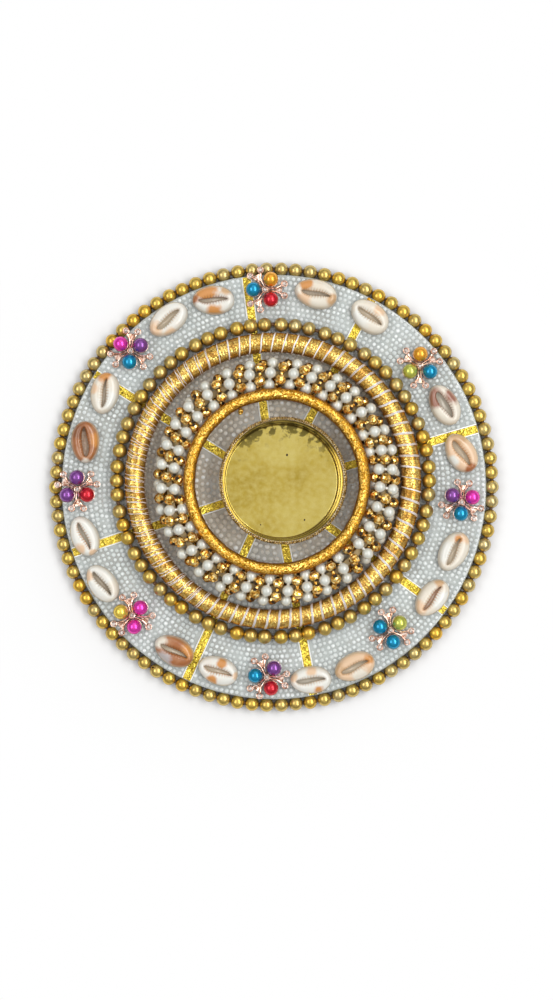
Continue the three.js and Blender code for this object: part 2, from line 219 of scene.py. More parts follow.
def ramp(material, factor, stops):
    made = node(material, "ShaderNodeValToRGB", {"Fac": factor})
    elements = made.color_ramp.elements
    while len(elements) < len(stops):
        elements.new(0.5)
    for element, (place, color) in zip(elements, stops):
        element.position = place
        element.color = (*color, 1) if isinstance(color, tuple) else (color, color, color, 1)
    return made.outputs["Color"]


def noiseValue(material, scale, detail=2.0, point=None):
    inputs = {"Vector": point or objectPoint(material), "Scale": scale, "Detail": detail}
    return node(material, "ShaderNodeTexNoise", inputs).outputs["Fac"]


def calculate(material, operation, first, second):
    return node(material, "ShaderNodeMath", {0: first, 1: second}, operation=operation).outputs[0]


def vectorMath(material, operation, first, second=None):
    inputs = {0: first}
    if second is not None:
        inputs["Scale" if operation == "SCALE" else 1] = second
    made = node(material, "ShaderNodeVectorMath", inputs, operation=operation)
    return made.outputs["Value" if operation == "LENGTH" else "Vector"]


def partOf(material, vector, axis):
    return node(material, "ShaderNodeSeparateXYZ", {0: vector}).outputs[axis]


def markOf(material, name):
    # the number that each point of the mesh holds under this name
    return node(material, "ShaderNodeAttribute", attribute_name=name).outputs["Fac"]


def patches(material, scale, detail, stops):
    return ramp(material, noiseValue(material, scale, detail), stops)


def paint(material, color):
    joinTo(material, color, "Base Color")


def bump(material, height, strength, distance):
    made = node(material, "ShaderNodeBump", {"Height": height, "Strength": strength, "Distance": distance})
    joinTo(material, made.outputs["Normal"], "Normal")


def mixColor(material, factor, first, second):
    made = node(material, "ShaderNodeMix", {0: factor}, data_type="RGBA")
    for socket, value in ((6, first), (7, second)):
        if isinstance(value, bpy.types.NodeSocket):
            material.node_tree.links.new(value, made.inputs[socket])
        else:
            made.inputs[socket].default_value = (*value, 1)
    return made.outputs[2]


def fromMiddle(material):
    # distance from the plate's middle, in metres
    return vectorMath(material, "LENGTH", objectPoint(material))


def facing(material):
    return node(material, "ShaderNodeNewGeometry").outputs["Normal"]


def upwards(material):
    # 1 where the surface looks straight up, 0 where it is upright
    return partOf(material, facing(material), "Z")


def glitterFlakes(material, flakeSize, tilt):
    # each small cell of the surface faces its own way, as a flake of glitter does
    inputs = {"Vector": objectPoint(material), "Scale": 1 / flakeSize}
    cells = node(material, "ShaderNodeTexVoronoi", inputs)
    centred = vectorMath(material, "SUBTRACT", cells.outputs["Color"], (0.5, 0.5, 0.5))
    tilted = vectorMath(material, "ADD", facing(material), vectorMath(material, "SCALE", centred, tilt))
    joinTo(material, vectorMath(material, "NORMALIZE", tilted), "Normal")
    return node(material, "ShaderNodeSeparateColor", {"Color": cells.outputs["Color"]}).outputs[0]


# Finishes

def glitterFinish(name, stops, flakeSize, tilt, roughness=0.32, metallic=0.8, sides=None, ribs=None):
    # the sides' colour is painted shade where the surface is steep, and the ribs' colour is painted shade in
    # the creases and the own colour of worn patches
    material = surface(name, stops[-1][1], roughness, metallic)
    color = ramp(material, glitterFlakes(material, flakeSize, tilt), stops)
    if sides:
        # painted shade: steep sides turn to the sides' colour
        steepShade = ramp(material, upwards(material), [(0.25, 1.0), (0.8, 0.0)])
        color = mixColor(material, steepShade, color, sides)
    if ribs:
        # painted shade in the ribs' creases; the next mask is real worn patches
        creaseShade = ramp(material, markOf(material, "rib"), [(0.05, 0.42), (0.5, 0.0)])
        patchy = patches(material, 190, 4, [(0.48, 0.0), (0.66, 0.8)])
        for share in (creaseShade, patchy):
            color = mixColor(material, share, color, ribs)
    paint(material, color)
    return material


def matteBeadFinish():
    # each bead is olive to yellow gold, with brown patches, and painted shade where it turns down
    material = surface("matte gold bead", (0.7, 0.55, 0.15), 0.28, 0.85)
    color = ramp(material, markOf(material, "copyTint"), [
        (0.0, (0.6, 0.5, 0.26)), (0.3, (0.67, 0.5, 0.16)), (0.55, (0.73, 0.51, 0.11)),
        (0.8, (0.81, 0.5, 0.07)), (1.0, (0.88, 0.5, 0.06))])
    brown = patches(material, 420, 3, [(0.4, 0.0), (0.75, 0.6)])
    color = mixColor(material, brown, color, (0.4, 0.25, 0.05))
    # painted shade towards the bead's edges
    steepShade = ramp(material, upwards(material), [(0.1, 0.85), (0.44, 0.0)])
    paint(material, mixColor(material, steepShade, color, (0.16, 0.08, 0.01)))
    bump(material, noiseValue(material, 2600, 2), 0.12, 0.1 * mm)
    return material


def pearlFinish(name, color, shade, roughness=0.28):
    material = surface(name, color, roughness, 0.0, Coat_Weight=1.0, Coat_Roughness=0.12, IOR=2.0)
    paint(material, mixColor(material, noiseValue(material, 260, 3), color, shade))
    return material


def coloredPearlFinish(name, color):
    material = surface(name, color, 0.22, 0.65, Coat_Weight=0.4, Coat_Roughness=0.05)
    dark = tuple(0.75 * part for part in color)
    paint(material, mixColor(material, noiseValue(material, 300, 2), color, dark))
    return material


def speckledFinish(name, color, roughness, metallic, scale, stops, **sockets):
    material = surface(name, color, roughness, metallic, **sockets)
    paint(material, patches(material, scale, 2, stops))
    return material


def fieldColor(material, cool, reflectedGold):
    # the field is cool, with painted warm light reflected from the gold rings inside the bangle, most of all
    # on the side away from the viewer
    inside = ramp(material, fromMiddle(material), [(0.06, 1.0), (0.068, 0.0)])
    away = partOf(material, objectPoint(material), "Y")
    sway = calculate(material, "MULTIPLY", noiseValue(material, 45, 2), 0.04)
    place = calculate(material, "ADD", calculate(material, "ADD", away, 0.048), sway)
    share = calculate(material, "MULTIPLY", inside, ramp(material, place, [(0.02, 0.1), (0.045, 1.0)]))
    return mixColor(material, share, cool, reflectedGold)


def seedPearlFinish():
    # a painted highlight on top of each pearl, brighter on some than on others
    material = surface("seed pearl", (0.5, 0.56, 0.57), 0.3, 0.0, Coat_Weight=0.6, Coat_Roughness=0.12)
    # the second colour is painted gold light reflected from the rings
    ground = fieldColor(material, (0.56, 0.6, 0.59), (0.58, 0.51, 0.4))
    # painted highlight where the pearl faces straight up
    spot = ramp(material, upwards(material), [(0.8, 0.0), (0.92, 0.4), (0.99, 1.0)])
    each = ramp(material, markOf(material, "copyTint"), [(0.3, 0.3), (0.9, 1.0)])
    clouds = patches(material, 120, 3, [(0.4, 0.3), (0.6, 1.0)])
    glint = calculate(material, "MULTIPLY", calculate(material, "MULTIPLY", spot, each), clouds)
    paint(material, mixColor(material, glint, ground, (0.93, 0.96, 0.96)))
    return material


def resinFinish():
    # clouded in patches, so that the pearls below it show more in some places than in others
    material = surface("clear resin", (0.42, 0.46, 0.46), 0.12, 0.0, IOR=1.8, Coat_Weight=0.6)
    # the second colour is painted gold light reflected from the rings
    color = fieldColor(material, (0.55, 0.59, 0.57), (0.58, 0.5, 0.37))
    dull = patches(material, 70, 3, [(0.42, 0.6), (0.56, 0.0)])
    color = mixColor(material, dull, color, (0.4, 0.39, 0.34))
    pale = patches(material, 95, 3, [(0.45, 0.0), (0.7, 0.6)])
    paint(material, mixColor(material, pale, color, (0.68, 0.72, 0.71)))
    joinTo(material, patches(material, 130, 4, [(0.3, 0.45), (0.7, 0.8)]), "Alpha")
    bump(material, noiseValue(material, 520, 2), 0.2, 0.2 * mm)
    return material


def seedBedFinish():
    material = surface("pearl bed", (0.4, 0.42, 0.41), 0.5)
    # the second colour is painted gold light reflected from the rings
    ground = fieldColor(material, (0.52, 0.56, 0.54), (0.58, 0.5, 0.37))
    pale = patches(material, 130, 3, [(0.35, 0.0), (0.7, 0.5)])
    paint(material, mixColor(material, pale, ground, (0.64, 0.67, 0.65)))
    return material


def boardFinish():
    material = surface("fibreboard", (0.1, 0.05, 0.02), 0.7)
    grain = noiseValue(material, 700, 4)
    paint(material, ramp(material, grain, [(0.3, (0.06, 0.025, 0.01)), (0.7, (0.16, 0.08, 0.03))]))
    bump(material, grain, 0.3, 0.2 * mm)
    return material


def threadFinish():
    # bright on top as a painted highlight, and rosy at the sides as painted shade with painted reflection of
    # the gold below it
    material = surface("silver thread", (0.9, 0.87, 0.86), 0.25, 0.1, Coat_Weight=0.6)
    paint(material, ramp(material, upwards(material), [
        (0.15, (0.5, 0.3, 0.18)), (0.45, (0.78, 0.64, 0.56)), (0.75, (0.97, 0.94, 0.95))]))
    bump(material, noiseValue(material, 1800, 2), 0.4, 0.15 * mm)
    return material


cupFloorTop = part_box("cup")[0].z + 0.8 * mm


def cupFloorColor(material, place, reach):
    # clouded gilt, with dark spots near the wall on the side away from the viewer
    color = patches(material, 55, 4, [(0.3, (0.44, 0.31, 0.04)), (0.5, (0.56, 0.42, 0.08)),
                                      (0.7, (0.66, 0.53, 0.14))])
    fine = patches(material, 420, 4, [(0.35, 0.0), (0.7, 0.5)])
    color = mixColor(material, fine, color, (0.72, 0.6, 0.22))
    far = calculate(material, "MULTIPLY", ramp(material, reach, [(0.0185, 0.0), (0.0245, 1.0)]),
                    ramp(material, partOf(material, place, "Y"), [(0.006, 0.0), (0.02, 1.0)]))
    spots = calculate(material, "ADD", noiseValue(material, 300, 5),
                      calculate(material, "MULTIPLY", far, 0.16))
    mottled = calculate(material, "MULTIPLY", ramp(material, spots, [(0.6, 0.0), (0.68, 0.9)]), far)
    return mixColor(material, mottled, color, (0.06, 0.045, 0.01))


def cupWallColor(material, place, reach, height):
    # painted highlights and shade: bright and dark lines round the wall, which follow its ridges, and in
    # patches bright and dark streaks in their place
    rings = node(material, "ShaderNodeCombineXYZ", {0: calculate(material, "MULTIPLY", reach, 6.0),
                                                    1: calculate(material, "MULTIPLY", height, 3.0)})
    stretched = vectorMath(material, "ADD", rings.outputs[0], vectorMath(material, "SCALE", place, 0.3))
    # painted highlight and shade streaks round the wall
    streakLightAndShade = ramp(material, noiseValue(material, 420, 3, stretched), [
        (0.45, (0.14, 0.07, 0.01)), (0.5, (0.58, 0.4, 0.12)), (0.56, (1.0, 0.95, 0.82))])
    # painted highlight and shade lines on the ridges
    ridgeLightAndShade = ramp(material, markOf(material, "wallLightAndShade"), [
        (0.1, (0.1, 0.045, 0.005)), (0.5, (0.62, 0.42, 0.1)), (0.9, (1.0, 0.96, 0.82))])
    patchy = patches(material, 90, 2, [(0.4, 0.0), (0.65, 0.5)])
    return mixColor(material, patchy, ridgeLightAndShade, streakLightAndShade)


def cupFinish():
    material = surface("polished gilt", (0.85, 0.72, 0.26), 0.14, 1.0)
    cupMiddle = middle("cup")
    place = node(material, "ShaderNodeMapping", {"Vector": objectPoint(material),
                                                 "Location": (-cupMiddle.x, -cupMiddle.y, 0)}).outputs[0]
    reach = vectorMath(material, "LENGTH", place)
    height = partOf(material, place, "Z")
    # in millimetres, because a ramp's stops can't lie closer together than a few thousandths
    aboveFloor = calculate(material, "MULTIPLY", calculate(material, "SUBTRACT", height, cupFloorTop), 1000)
    wall = ramp(material, aboveFloor, [(0.1, 0.0), (0.4, 1.0)])
    paint(material, mixColor(material, wall, cupFloorColor(material, place, reach),
                             cupWallColor(material, place, reach, height)))
    bump(material, noiseValue(material, 190, 4), 0.16, 0.4 * mm)
    return material


matteGold = matteBeadFinish()
# painted shade for the sunk bead holes, and the own colour of dark crumbs and specks
holeShadeAndDarkBits = surface("hole shade and dark bits", (0.03, 0.015, 0.005), 0.8)
whitePearl = pearlFinish("white pearl", (0.7, 0.71, 0.64), (0.52, 0.52, 0.45), 0.2)
neckPlastic = pearlFinish("pearl neck", (0.62, 0.6, 0.54), (0.5, 0.48, 0.42))
ringCore = surface("ring core", (0.42, 0.31, 0.15), 0.5, 0.3)
seedPearl = seedPearlFinish()
copperGold = speckledFinish("gold bead", (0.92, 0.6, 0.2), 0.16, 0.9, 900, [
    (0.36, (0.4, 0.16, 0.015)), (0.48, (0.85, 0.47, 0.08)), (0.62, (1.0, 0.8, 0.38))])
bump(copperGold, noiseValue(copperGold, 620, 2), 0.5, 0.25 * mm)
# the sides colour is painted shade on the steep sides, and the ribs colour painted shade in the creases and
# the colour of worn foil
goldFoil = glitterFinish("gold foil", [
    (0.08, (0.34, 0.15, 0.015)), (0.35, (0.78, 0.46, 0.06)), (0.75, (1.0, 0.76, 0.25))],
    0.42 * mm, 0.36, 0.26, sides=(0.4, 0.16, 0.01), ribs=(0.36, 0.15, 0.015))
# the sides colour is painted shade on the steep sides
ringGlitter = glitterFinish("ring glitter", [
    (0.12, (0.33, 0.12, 0.004)), (0.42, (0.76, 0.36, 0.016)), (0.8, (1.0, 0.66, 0.15))],
    0.38 * mm, 0.7, metallic=0.95, sides=(0.4, 0.13, 0.004))
stripGlitter = glitterFinish("strip glitter", [
    (0.1, (0.2, 0.12, 0.01)), (0.4, (0.62, 0.42, 0.03)), (0.85, (0.9, 0.7, 0.1))], 0.4 * mm, 0.7)
goldCord = glitterFinish("gold cord", [
    (0.15, (0.1, 0.04, 0.004)), (0.5, (0.5, 0.27, 0.035)), (0.85, (1.0, 0.78, 0.36))], 0.35 * mm, 0.6)
silverThread = threadFinish()
beadThread = surface("bead thread", (0.1, 0.045, 0.012), 0.6)
bump(beadThread, noiseValue(beadThread, 3000, 2), 0.4, 0.1 * mm)
roseGold = speckledFinish("rose gold", (0.9, 0.62, 0.5), 0.24, 0.85, 900, [
    (0.34, (0.3, 0.14, 0.08)), (0.5, (0.76, 0.46, 0.34)), (0.66, (1.0, 0.84, 0.74))])
bump(roseGold, noiseValue(roseGold, 1500, 2), 0.2, 0.1 * mm)
clearStone = speckledFinish("clear stone", (0.86, 0.8, 0.76), 0.06, 0.2, 1700, [
    (0.4, (0.2, 0.13, 0.1)), (0.5, (0.72, 0.63, 0.57)), (0.7, (0.95, 0.92, 0.9))], Coat_Weight=1.0, IOR=1.9)
polishedGilt = cupFinish()
fibreboard = boardFinish()
clearResin = resinFinish()
seedBed = seedBedFinish()
whiteEdge = surface("white glue line", (0.92, 0.93, 0.9), 0.25, 0.0, Coat_Weight=0.6)
bump(whiteEdge, noiseValue(whiteEdge, 1500, 2), 0.3, 0.15 * mm)
print("finishes ready")


# Camera, lights and floor. The photograph looks straight down on the plate
photo = {
    "width": 553,
    "height": 1000,
    "plateMiddle": (274, 487),
    "pixel": 0.45 * mm,
    "distance": 0.9,
    "lens": 72,
    "focusHeight": 6 * mm,
}


def addCamera():
    # set off from the plate's middle as far as the photograph's own middle is
    data = bpy.data.cameras.new("camera")
    data.lens = photo["lens"]
    camera = bpy.data.objects.new("camera", data)
    across = (photo["width"] / 2 - photo["plateMiddle"][0]) * photo["pixel"]
    up = (photo["plateMiddle"][1] - photo["height"] / 2) * photo["pixel"]
    camera.location = (across, up, photo["distance"] + photo["focusHeight"])
    bpy.context.scene.collection.objects.link(camera)
    bpy.context.scene.camera = camera


# each softbox has the way it lies in, how far off it is, its size along Y and across, and its power
softboxes = {
    "left softbox": ((-0.58, 0.05, 0.81), 1.1, 0.8, 0.32, 2.6),
    "right softbox": ((0.5, 0.07, 0.86), 1.1, 1.2, 0.38, 6.7),
    "back fill": ((0.1, 0.75, 0.66), 1.3, 1.1, 0.9, 1.9),
}


def addLamp(name, direction, distance, tall, wide, power):
    data = bpy.data.lights.new(name, "AREA")
    data.shape = "RECTANGLE"
    data.size = tall
    data.size_y = wide
    data.energy = power
    lamp = bpy.data.objects.new(name, data)
    lamp.location = Vector(direction).normalized() * distance
    lamp.rotation_euler = (-lamp.location).to_track_quat("-Z", "Y").to_euler()
    bpy.context.scene.collection.objects.link(lamp)


# the floor glows to the camera, more with its distance in metres from the plate's middle
floorLook = {
    "size": 30,
    "color": (0.85, 0.85, 0.85),
    "roughness": 0.8,
    "glow": [(0.101, 0.0), (0.112, 0.4), (0.122, 0.8), (0.15, 1.0)],
}


def addFloor():
    bm = bmesh.new()
    bmesh.ops.create_grid(bm, x_segments=1, y_segments=1, size=floorLook["size"])
    mesh = meshOf("floor", bm)
    material = surface("pale floor", floorLook["color"], floorLook["roughness"])
    tree = material.node_tree
    rays = node(material, "ShaderNodeLightPath").outputs
    direct = calculate(material, "MAXIMUM", rays["Is Camera Ray"], rays["Is Glossy Ray"])
    direct = calculate(material, "MAXIMUM", direct, rays["Is Transmission Ray"])
    share = calculate(material, "MULTIPLY", direct, ramp(material, fromMiddle(material), floorLook["glow"]))
    glow = node(material, "ShaderNodeEmission", {"Color": (1, 1, 1, 1), "Strength": 1.0})
    both = node(material, "ShaderNodeMixShader", {0: share, 1: shaderOf(material).outputs[0],
                                                  2: glow.outputs[0]})
    tree.links.new(both.outputs[0], tree.nodes["Material Output"].inputs["Surface"])
    mesh.materials.append(material)
    floor = bpy.data.objects.new("floor", mesh)
    bpy.context.scene.collection.objects.link(floor)


def addWorld():
    # a studio that is dim near the floor and brighter overhead, and white to the camera
    world = bpy.data.worlds.new("studio")
    world.use_nodes = True
    height = partOf(world, node(world, "ShaderNodeTexCoord").outputs["Generated"], "Z")
    shade = ramp(world, height, [(0.0, 0.24), (0.3, 0.3), (0.6, 0.44), (0.85, 0.6), (0.97, 0.92)])
    seen = node(world, "ShaderNodeLightPath").outputs["Is Camera Ray"]
    world.node_tree.links.new(mixColor(world, seen, shade, (1, 1, 1)),
                              world.node_tree.nodes["Background"].inputs["Color"])
    bpy.context.scene.world = world


addCamera()
for name, look in softboxes.items():
    addLamp(name, *look)
addWorld()
addFloor()
bpy.context.scene.view_settings.view_transform = "Standard"
print("camera, lights and floor ready")


# Board, seed pearls, glitter strips and resin
boardCentre = middle("base_board")
boardRadius = halfWidth("base_board")
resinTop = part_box("resin_coat")[1].z

board = {"steps": 160, "edge": 0.4 * mm}


def makeBoard():
    bm = bmesh.new()
    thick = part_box("base_board")[1].z
    edge = board["edge"]
    profile = [(0, 0), (boardRadius - edge, 0), (boardRadius, edge), (boardRadius, thick - edge),
               (boardRadius - edge, thick), (0, thick)]
    spinRing(bm, profile, board["steps"], closed=False)
    addPiece("base_board_round", bm, [fibreboard], ["base_board"], smooth=False)


makeBoard()

strips = {
    "angles": [97.5, 62.4, 16, -36, -79.3, -114.5, -161.9, -212.2],
    "width": 3.8 * mm,
    "start": 20 * mm,
    "belowResin": 0.02 * mm,
    "bevel": 0.3 * mm,
    "edgeWidth": 0.55 * mm,
    "edgeOut": 0.3,  # how far the white edge's middle stands outside the strip, as a share of its width
    "edgeLift": 0.34 * mm,
    "edgeBevel": 0.15 * mm,
}


def bevelAll(bm, offset):
    bmesh.ops.bevel(bm, geom=bm.edges[:], offset=offset, segments=2, profile=0.5, affect="EDGES",
                    material=-1)


def makeStrip(index, angle):
    bottom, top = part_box(f"glitter_strip_{index}")[0].z, resinTop - strips["belowResin"]
    length = boardRadius - strips["start"]
    turned = Matrix.Rotation(math.radians(angle), 4, "Z")
    along, height = strips["start"] + length / 2, (bottom + top) / 2
    foam = bmesh.new()
    size = Matrix.Diagonal((length, strips["width"], top - bottom, 1))
    bmesh.ops.create_cube(foam, size=1, matrix=turned @ Matrix.Translation((along, 0, height)) @ size)
    bevelAll(foam, strips["bevel"])
    addPiece(f"glitter_strip_{index}_foam", foam, [stripGlitter], [f"glitter_strip_{index}"],
             smooth=False)
    edges = bmesh.new()
    for side in (-1, 1):
        across = side * (strips["width"] / 2 + strips["edgeWidth"] * strips["edgeOut"])
        place = turned @ Matrix.Translation((along, across, height))
        size = Matrix.Diagonal((length, strips["edgeWidth"], top - bottom + strips["edgeLift"], 1))
        bmesh.ops.create_cube(edges, size=1, matrix=place @ size)
    bevelAll(edges, strips["edgeBevel"])
    addPiece(f"glitter_strip_{index}_edges", edges, [whiteEdge])


for index, angle in enumerate(strips["angles"]):
    makeStrip(index + 1, angle)

seedPearls = {
    "radius": 1.16 * mm,
    "flat": 0.55,
    "cutBelow": -0.2,  # these three are shares of the radius
    "rimGap": 0.9,
    "stripGap": 0.8,
    "row": 2.22 * mm,
    "spacing": 2.3 * mm,
    "inner": 24 * mm,  # clear of the cup
    "jitter": 0.3 * mm,
    "jitterOut": (-1, 0.2),  # these two are shares of the jitter
    "jitterDown": (0, 0.8),
    "proud": 0.1 * mm,
    "tilt": 0.2,
    "sizes": (0.88, 1.06),
    "growth": 1.22,  # how much larger they are inside the next radius
    "growthInside": 56 * mm,
    "seed": 11,
}


def seedPearlMesh():
    bm = bmesh.new()
    bmesh.ops.create_uvsphere(bm, u_segments=10, v_segments=8, radius=seedPearls["radius"])
    low = [vert for vert in bm.verts if vert.co.z < seedPearls["cutBelow"] * seedPearls["radius"]]
    bmesh.ops.delete(bm, geom=low, context="VERTS")
    bmesh.ops.scale(bm, verts=bm.verts[:], vec=(1, 1, seedPearls["flat"]))
    return meshOf("seed pearl", bm)


def fieldOf(angle):
    # the number of the field between two strips that an angle in degrees falls in
    falling = strips["angles"] + [strips["angles"][0] - 360]
    while angle > falling[0]:
        angle -= 360
    for index, (high, low) in enumerate(zip(falling, falling[1:])):
        if low <= angle <= high:
            return index + 1
    return fieldOf(angle + 360)


def seedPearlPlaces(rng):
    # rows round the board, left out at the strips and at the cup
    jitter = seedPearls["jitter"]
    clear = strips["width"] / 2 + seedPearls["stripGap"] * seedPearls["radius"]
    places = {index + 1: [] for index in range(len(strips["angles"]))}
    height = resinTop + seedPearls["proud"] - seedPearls["radius"] * seedPearls["flat"]
    cupMiddle = middle("cup")
    radius = boardRadius - seedPearls["rimGap"] * seedPearls["radius"]
    while radius > seedPearls["inner"]:
        growth = seedPearls["growth"] if radius < seedPearls["growthInside"] else 1.0
        count = int(fullTurn * radius / (seedPearls["spacing"] * growth))
        shift = rng.random()
        for at in range(count):
            angle = (at + shift) * fullTurn / count + rng.uniform(-1, 1) * jitter / radius
            reach = radius + rng.uniform(*seedPearls["jitterOut"]) * jitter
            down = rng.uniform(*seedPearls["jitterDown"]) * jitter
            point = onCircle(boardCentre, reach, angle, height - down)
            if (point - cupMiddle).xy.length < seedPearls["inner"]:
                continue
            offsets = [reach * math.sin(angle - math.radians(strip)) for strip in strips["angles"]
                       if math.cos(angle - math.radians(strip)) > 0]
            if min(abs(offset) for offset in offsets) < clear:
                continue
            lean = Matrix.Rotation(rng.uniform(-1, 1) * seedPearls["tilt"], 4,
                                   (rng.uniform(-1, 1), rng.uniform(-1, 1), 0.01))
            size = growth * rng.uniform(*seedPearls["sizes"])
            place = Matrix.Translation(point) @ lean @ Matrix.Diagonal((size, size, 1, 1))
            places[fieldOf(math.degrees(angle))].append(place)
        radius -= seedPearls["row"] * growth
    return places


def makeSeedPearls():
    rng = random.Random(seedPearls["seed"])
    places = seedPearlPlaces(rng)
    template = seedPearlMesh()
    for index, spots in places.items():
        bm = bmesh.new()
        addCopies(bm, template, spots)
        piece = addPiece(f"pearl_field_{index}_pearls", bm, [seedPearl],
                         [f"pearl_field_{index}"])
        markCopies(piece, template, [rng.random() for _ in spots])
    everyPlace = [place.translation for spots in places.values() for place in spots]
    print("seed pearls", len(everyPlace))
    return everyPlace


seedPlaces = makeSeedPearls()

resin = {
    "steps": 560,
    "row": 0.85 * mm,
    "inner": 22 * mm,
    "edge": 0.5 * mm,
    "corner": 0.3,  # how much of the edge is cut off its corner, and off its foot
    "foot": 0.6,
    "sink": 0.34 * mm,
    "swell": 0.16 * mm,
    "swellShares": (0.8, 0.4),  # the even and the clouded part
    "reach": 0.95 * mm,
    "cloudScale": 130,
    "bedSink": 0.72 * mm,
    "bedInset": 0.35 * mm,
    "bedSteps": 180,
}


def makeResin(spots):
    # the skin swells over each seed pearl
    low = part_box("pearl_field_1")[0].z
    radius = halfWidth("resin_coat")
    top = resinTop - resin["sink"]
    edge = resin["edge"]
    rows = int((radius - edge - resin["inner"]) / resin["row"])
    flat = [(0, top)] + [(radius - edge - resin["row"] * row, top) for row in range(rows, -1, -1)]
    corner, foot = resin["corner"] * edge, resin["foot"] * edge
    profile = flat + [(radius - corner, top - corner), (radius, top - edge), (radius, low),
                      (radius - foot, low)]
    bm = bmesh.new()
    spinRing(bm, profile, resin["steps"], closed=False)
    near = kdtree.KDTree(len(spots))
    for at, spot in enumerate(spots):
        near.insert((spot.x, spot.y, 0), at)
    near.balance()
    even, clouded = resin["swellShares"]
    for vert in bm.verts:
        if vert.co.z > top - 0.2 * edge:
            apart = near.find((vert.co.x, vert.co.y, 0))[2] / resin["reach"]
            cloud = noise.noise(vert.co * resin["cloudScale"])
            vert.co.z += resin["swell"] * (even + clouded * cloud) * math.exp(-apart * apart)
    addPiece("resin_coat_clear", bm, [clearResin], ["resin_coat"])
    bed = bmesh.new()
    bedTop, bedRadius = resinTop - resin["bedSink"], radius - resin["bedInset"]
    spinRing(bed, [(0, bedTop), (bedRadius, bedTop), (bedRadius, low)], resin["bedSteps"], closed=False)
    addPiece("pearl_bed", bed, [seedBed], smooth=False)


makeResin(seedPlaces)

# bits that fell into the resin: place and size in millimetres, and whether they are gold
crumbs = {
    "bits": [(-19.8, 52.0, 0.7, False), (42.5, 84.4, 0.8, True), (-15.0, 34.0, 1.3, True),
             (-27.5, -27.0, 1.0, True), (52.8, 22.0, 0.7, True), (-56.5, 24.0, 0.6, False)],
    "shape": (1, 1.2, 0.6, 1),
    "lumps": 0.35 * mm,
    "lumpScale": 900,
    "lumpShift": Vector((5, 0, 0)),
}


def makeCrumbs():
    bm = bmesh.new()
    for across, up, size, golden in crumbs["bits"]:
        before = len(bm.faces)
        place = Matrix.Translation((across * mm, up * mm, resinTop)) @ Matrix.Diagonal(crumbs["shape"])
        bmesh.ops.create_icosphere(bm, subdivisions=3, radius=size * mm, matrix=place)
        bm.faces.ensure_lookup_table()
        for face in bm.faces[before:]:
            face.material_index = 0 if golden else 1
    for vert in bm.verts:
        lump = noise.noise(vert.co * crumbs["lumpScale"] + crumbs["lumpShift"])
        vert.co += vert.normal * crumbs["lumps"] * lump
    addPiece("resin_crumbs", bm, [ringGlitter, holeShadeAndDarkBits])


makeCrumbs()
print("board and resin ready")


# Matte gold beads. How far each may stray outwards, along and upwards is in millimetres
beads = {
    "rim": 3.26 * mm,
    "inner": 3.3 * mm,
    "around": 22,
    "rows": 18,
    "hole": 0.45,
    "strayOut": 0.2,
    "strayAlong": 0.12,
    "strayUp": 0.1,
    "yaw": 0.2,
    "pitch": 0.35,
    "girth": (0.97, 1.0),
    "length": (0.95, 1.0),
    "commonTint": 0.32,
    "thread": 0.8 * mm,
    "threadSteps": 180,
    "turnedAt": 237,  # one bead of the rim shows its hole here, in degrees
    "turnedPitch": 0.9,
}


def makeString(name, radius, circleRadius, centre, angles, seed, turned=None):
    rng = random.Random(seed)
    height = middle(name).z
    template = ballMesh("matte bead", radius, beads["around"], beads["rows"], beads["hole"])
    places = []
    for angle in angles:
        reach = circleRadius - rng.uniform(0, beads["strayOut"]) * mm
        spot = angle + rng.uniform(-beads["strayAlong"], beads["strayAlong"]) * mm / circleRadius
        rise = rng.uniform(-beads["strayUp"], beads["strayUp"]) * mm
        place = Matrix.Translation(onCircle(centre, reach, spot, height + rise))
        along = Matrix.Rotation(angle + rng.uniform(-beads["yaw"], beads["yaw"]), 4, "Z")
        if angle == turned:
            pitch = beads["turnedPitch"]
        else:
            pitch = math.pi / 2 + rng.uniform(-beads["pitch"], beads["pitch"])
        shape = Matrix.Diagonal((rng.uniform(*beads["girth"]), rng.uniform(*beads["girth"]),
                                 rng.uniform(*beads["length"]), 1))
        places.append(place @ along @ Matrix.Rotation(pitch, 4, "X") @ shape)
    bm = bmesh.new()
    addCopies(bm, template, places)
    piece = addPiece(f"{name}_beads", bm, [matteGold, holeShadeAndDarkBits], [name])
    markCopies(piece, template, [rng.triangular(0, 1, beads["commonTint"]) for _ in places])
    core = bmesh.new()
    spinRing(core, roundProfile(circleRadius, beads["thread"], 8), beads["threadSteps"])
    bmesh.ops.translate(core, verts=core.verts[:], vec=(centre.x, centre.y, height))
    addPiece(f"{name}_thread", core, [beadThread])


rimCount = 94
rimRadius = halfWidth("rim_bead_string") - beads["rim"]
rimAngles = [fullTurn * at / rimCount for at in range(rimCount)]
turnedAngle = min(rimAngles, key=lambda angle: abs(math.degrees(angle) - beads["turnedAt"]))
makeString("rim_bead_string", beads["rim"], rimRadius, boardCentre, rimAngles, 5, turnedAngle)

# the inner beads lie in threes on a circle round the bangle, a little left of the solid's middle
groups = {"count": 22, "size": 3, "step": 6.28 * mm, "radius": 70.1 * mm}
bangleCentre = middle("foil_bangle") - Vector((0.45 * mm, 0, 0))
innerAngles = [fullTurn * group / groups["count"] + (at - 1) * groups["step"] / groups["radius"]
               for group in range(groups["count"]) for at in range(groups["size"])]
makeString("inner_bead_string", beads["inner"], groups["radius"], bangleCentre, innerAngles, 6)
print("bead strings ready")


# Bangle wound with gold foil, and its silver thread
bangle = {
    "radius": 61.86 * mm,
    "tube": 4.4 * mm,
    "sides": 20,
    "ribs": 310,
    "stepsPerRib": 4,
    "parts": 31,
    "ribDepth": 0.06 * mm,
    "ribSway": 2.5,
    "swayScale": 90,
    "crease": 0.14 * mm,
    "creaseScale": 500,
}


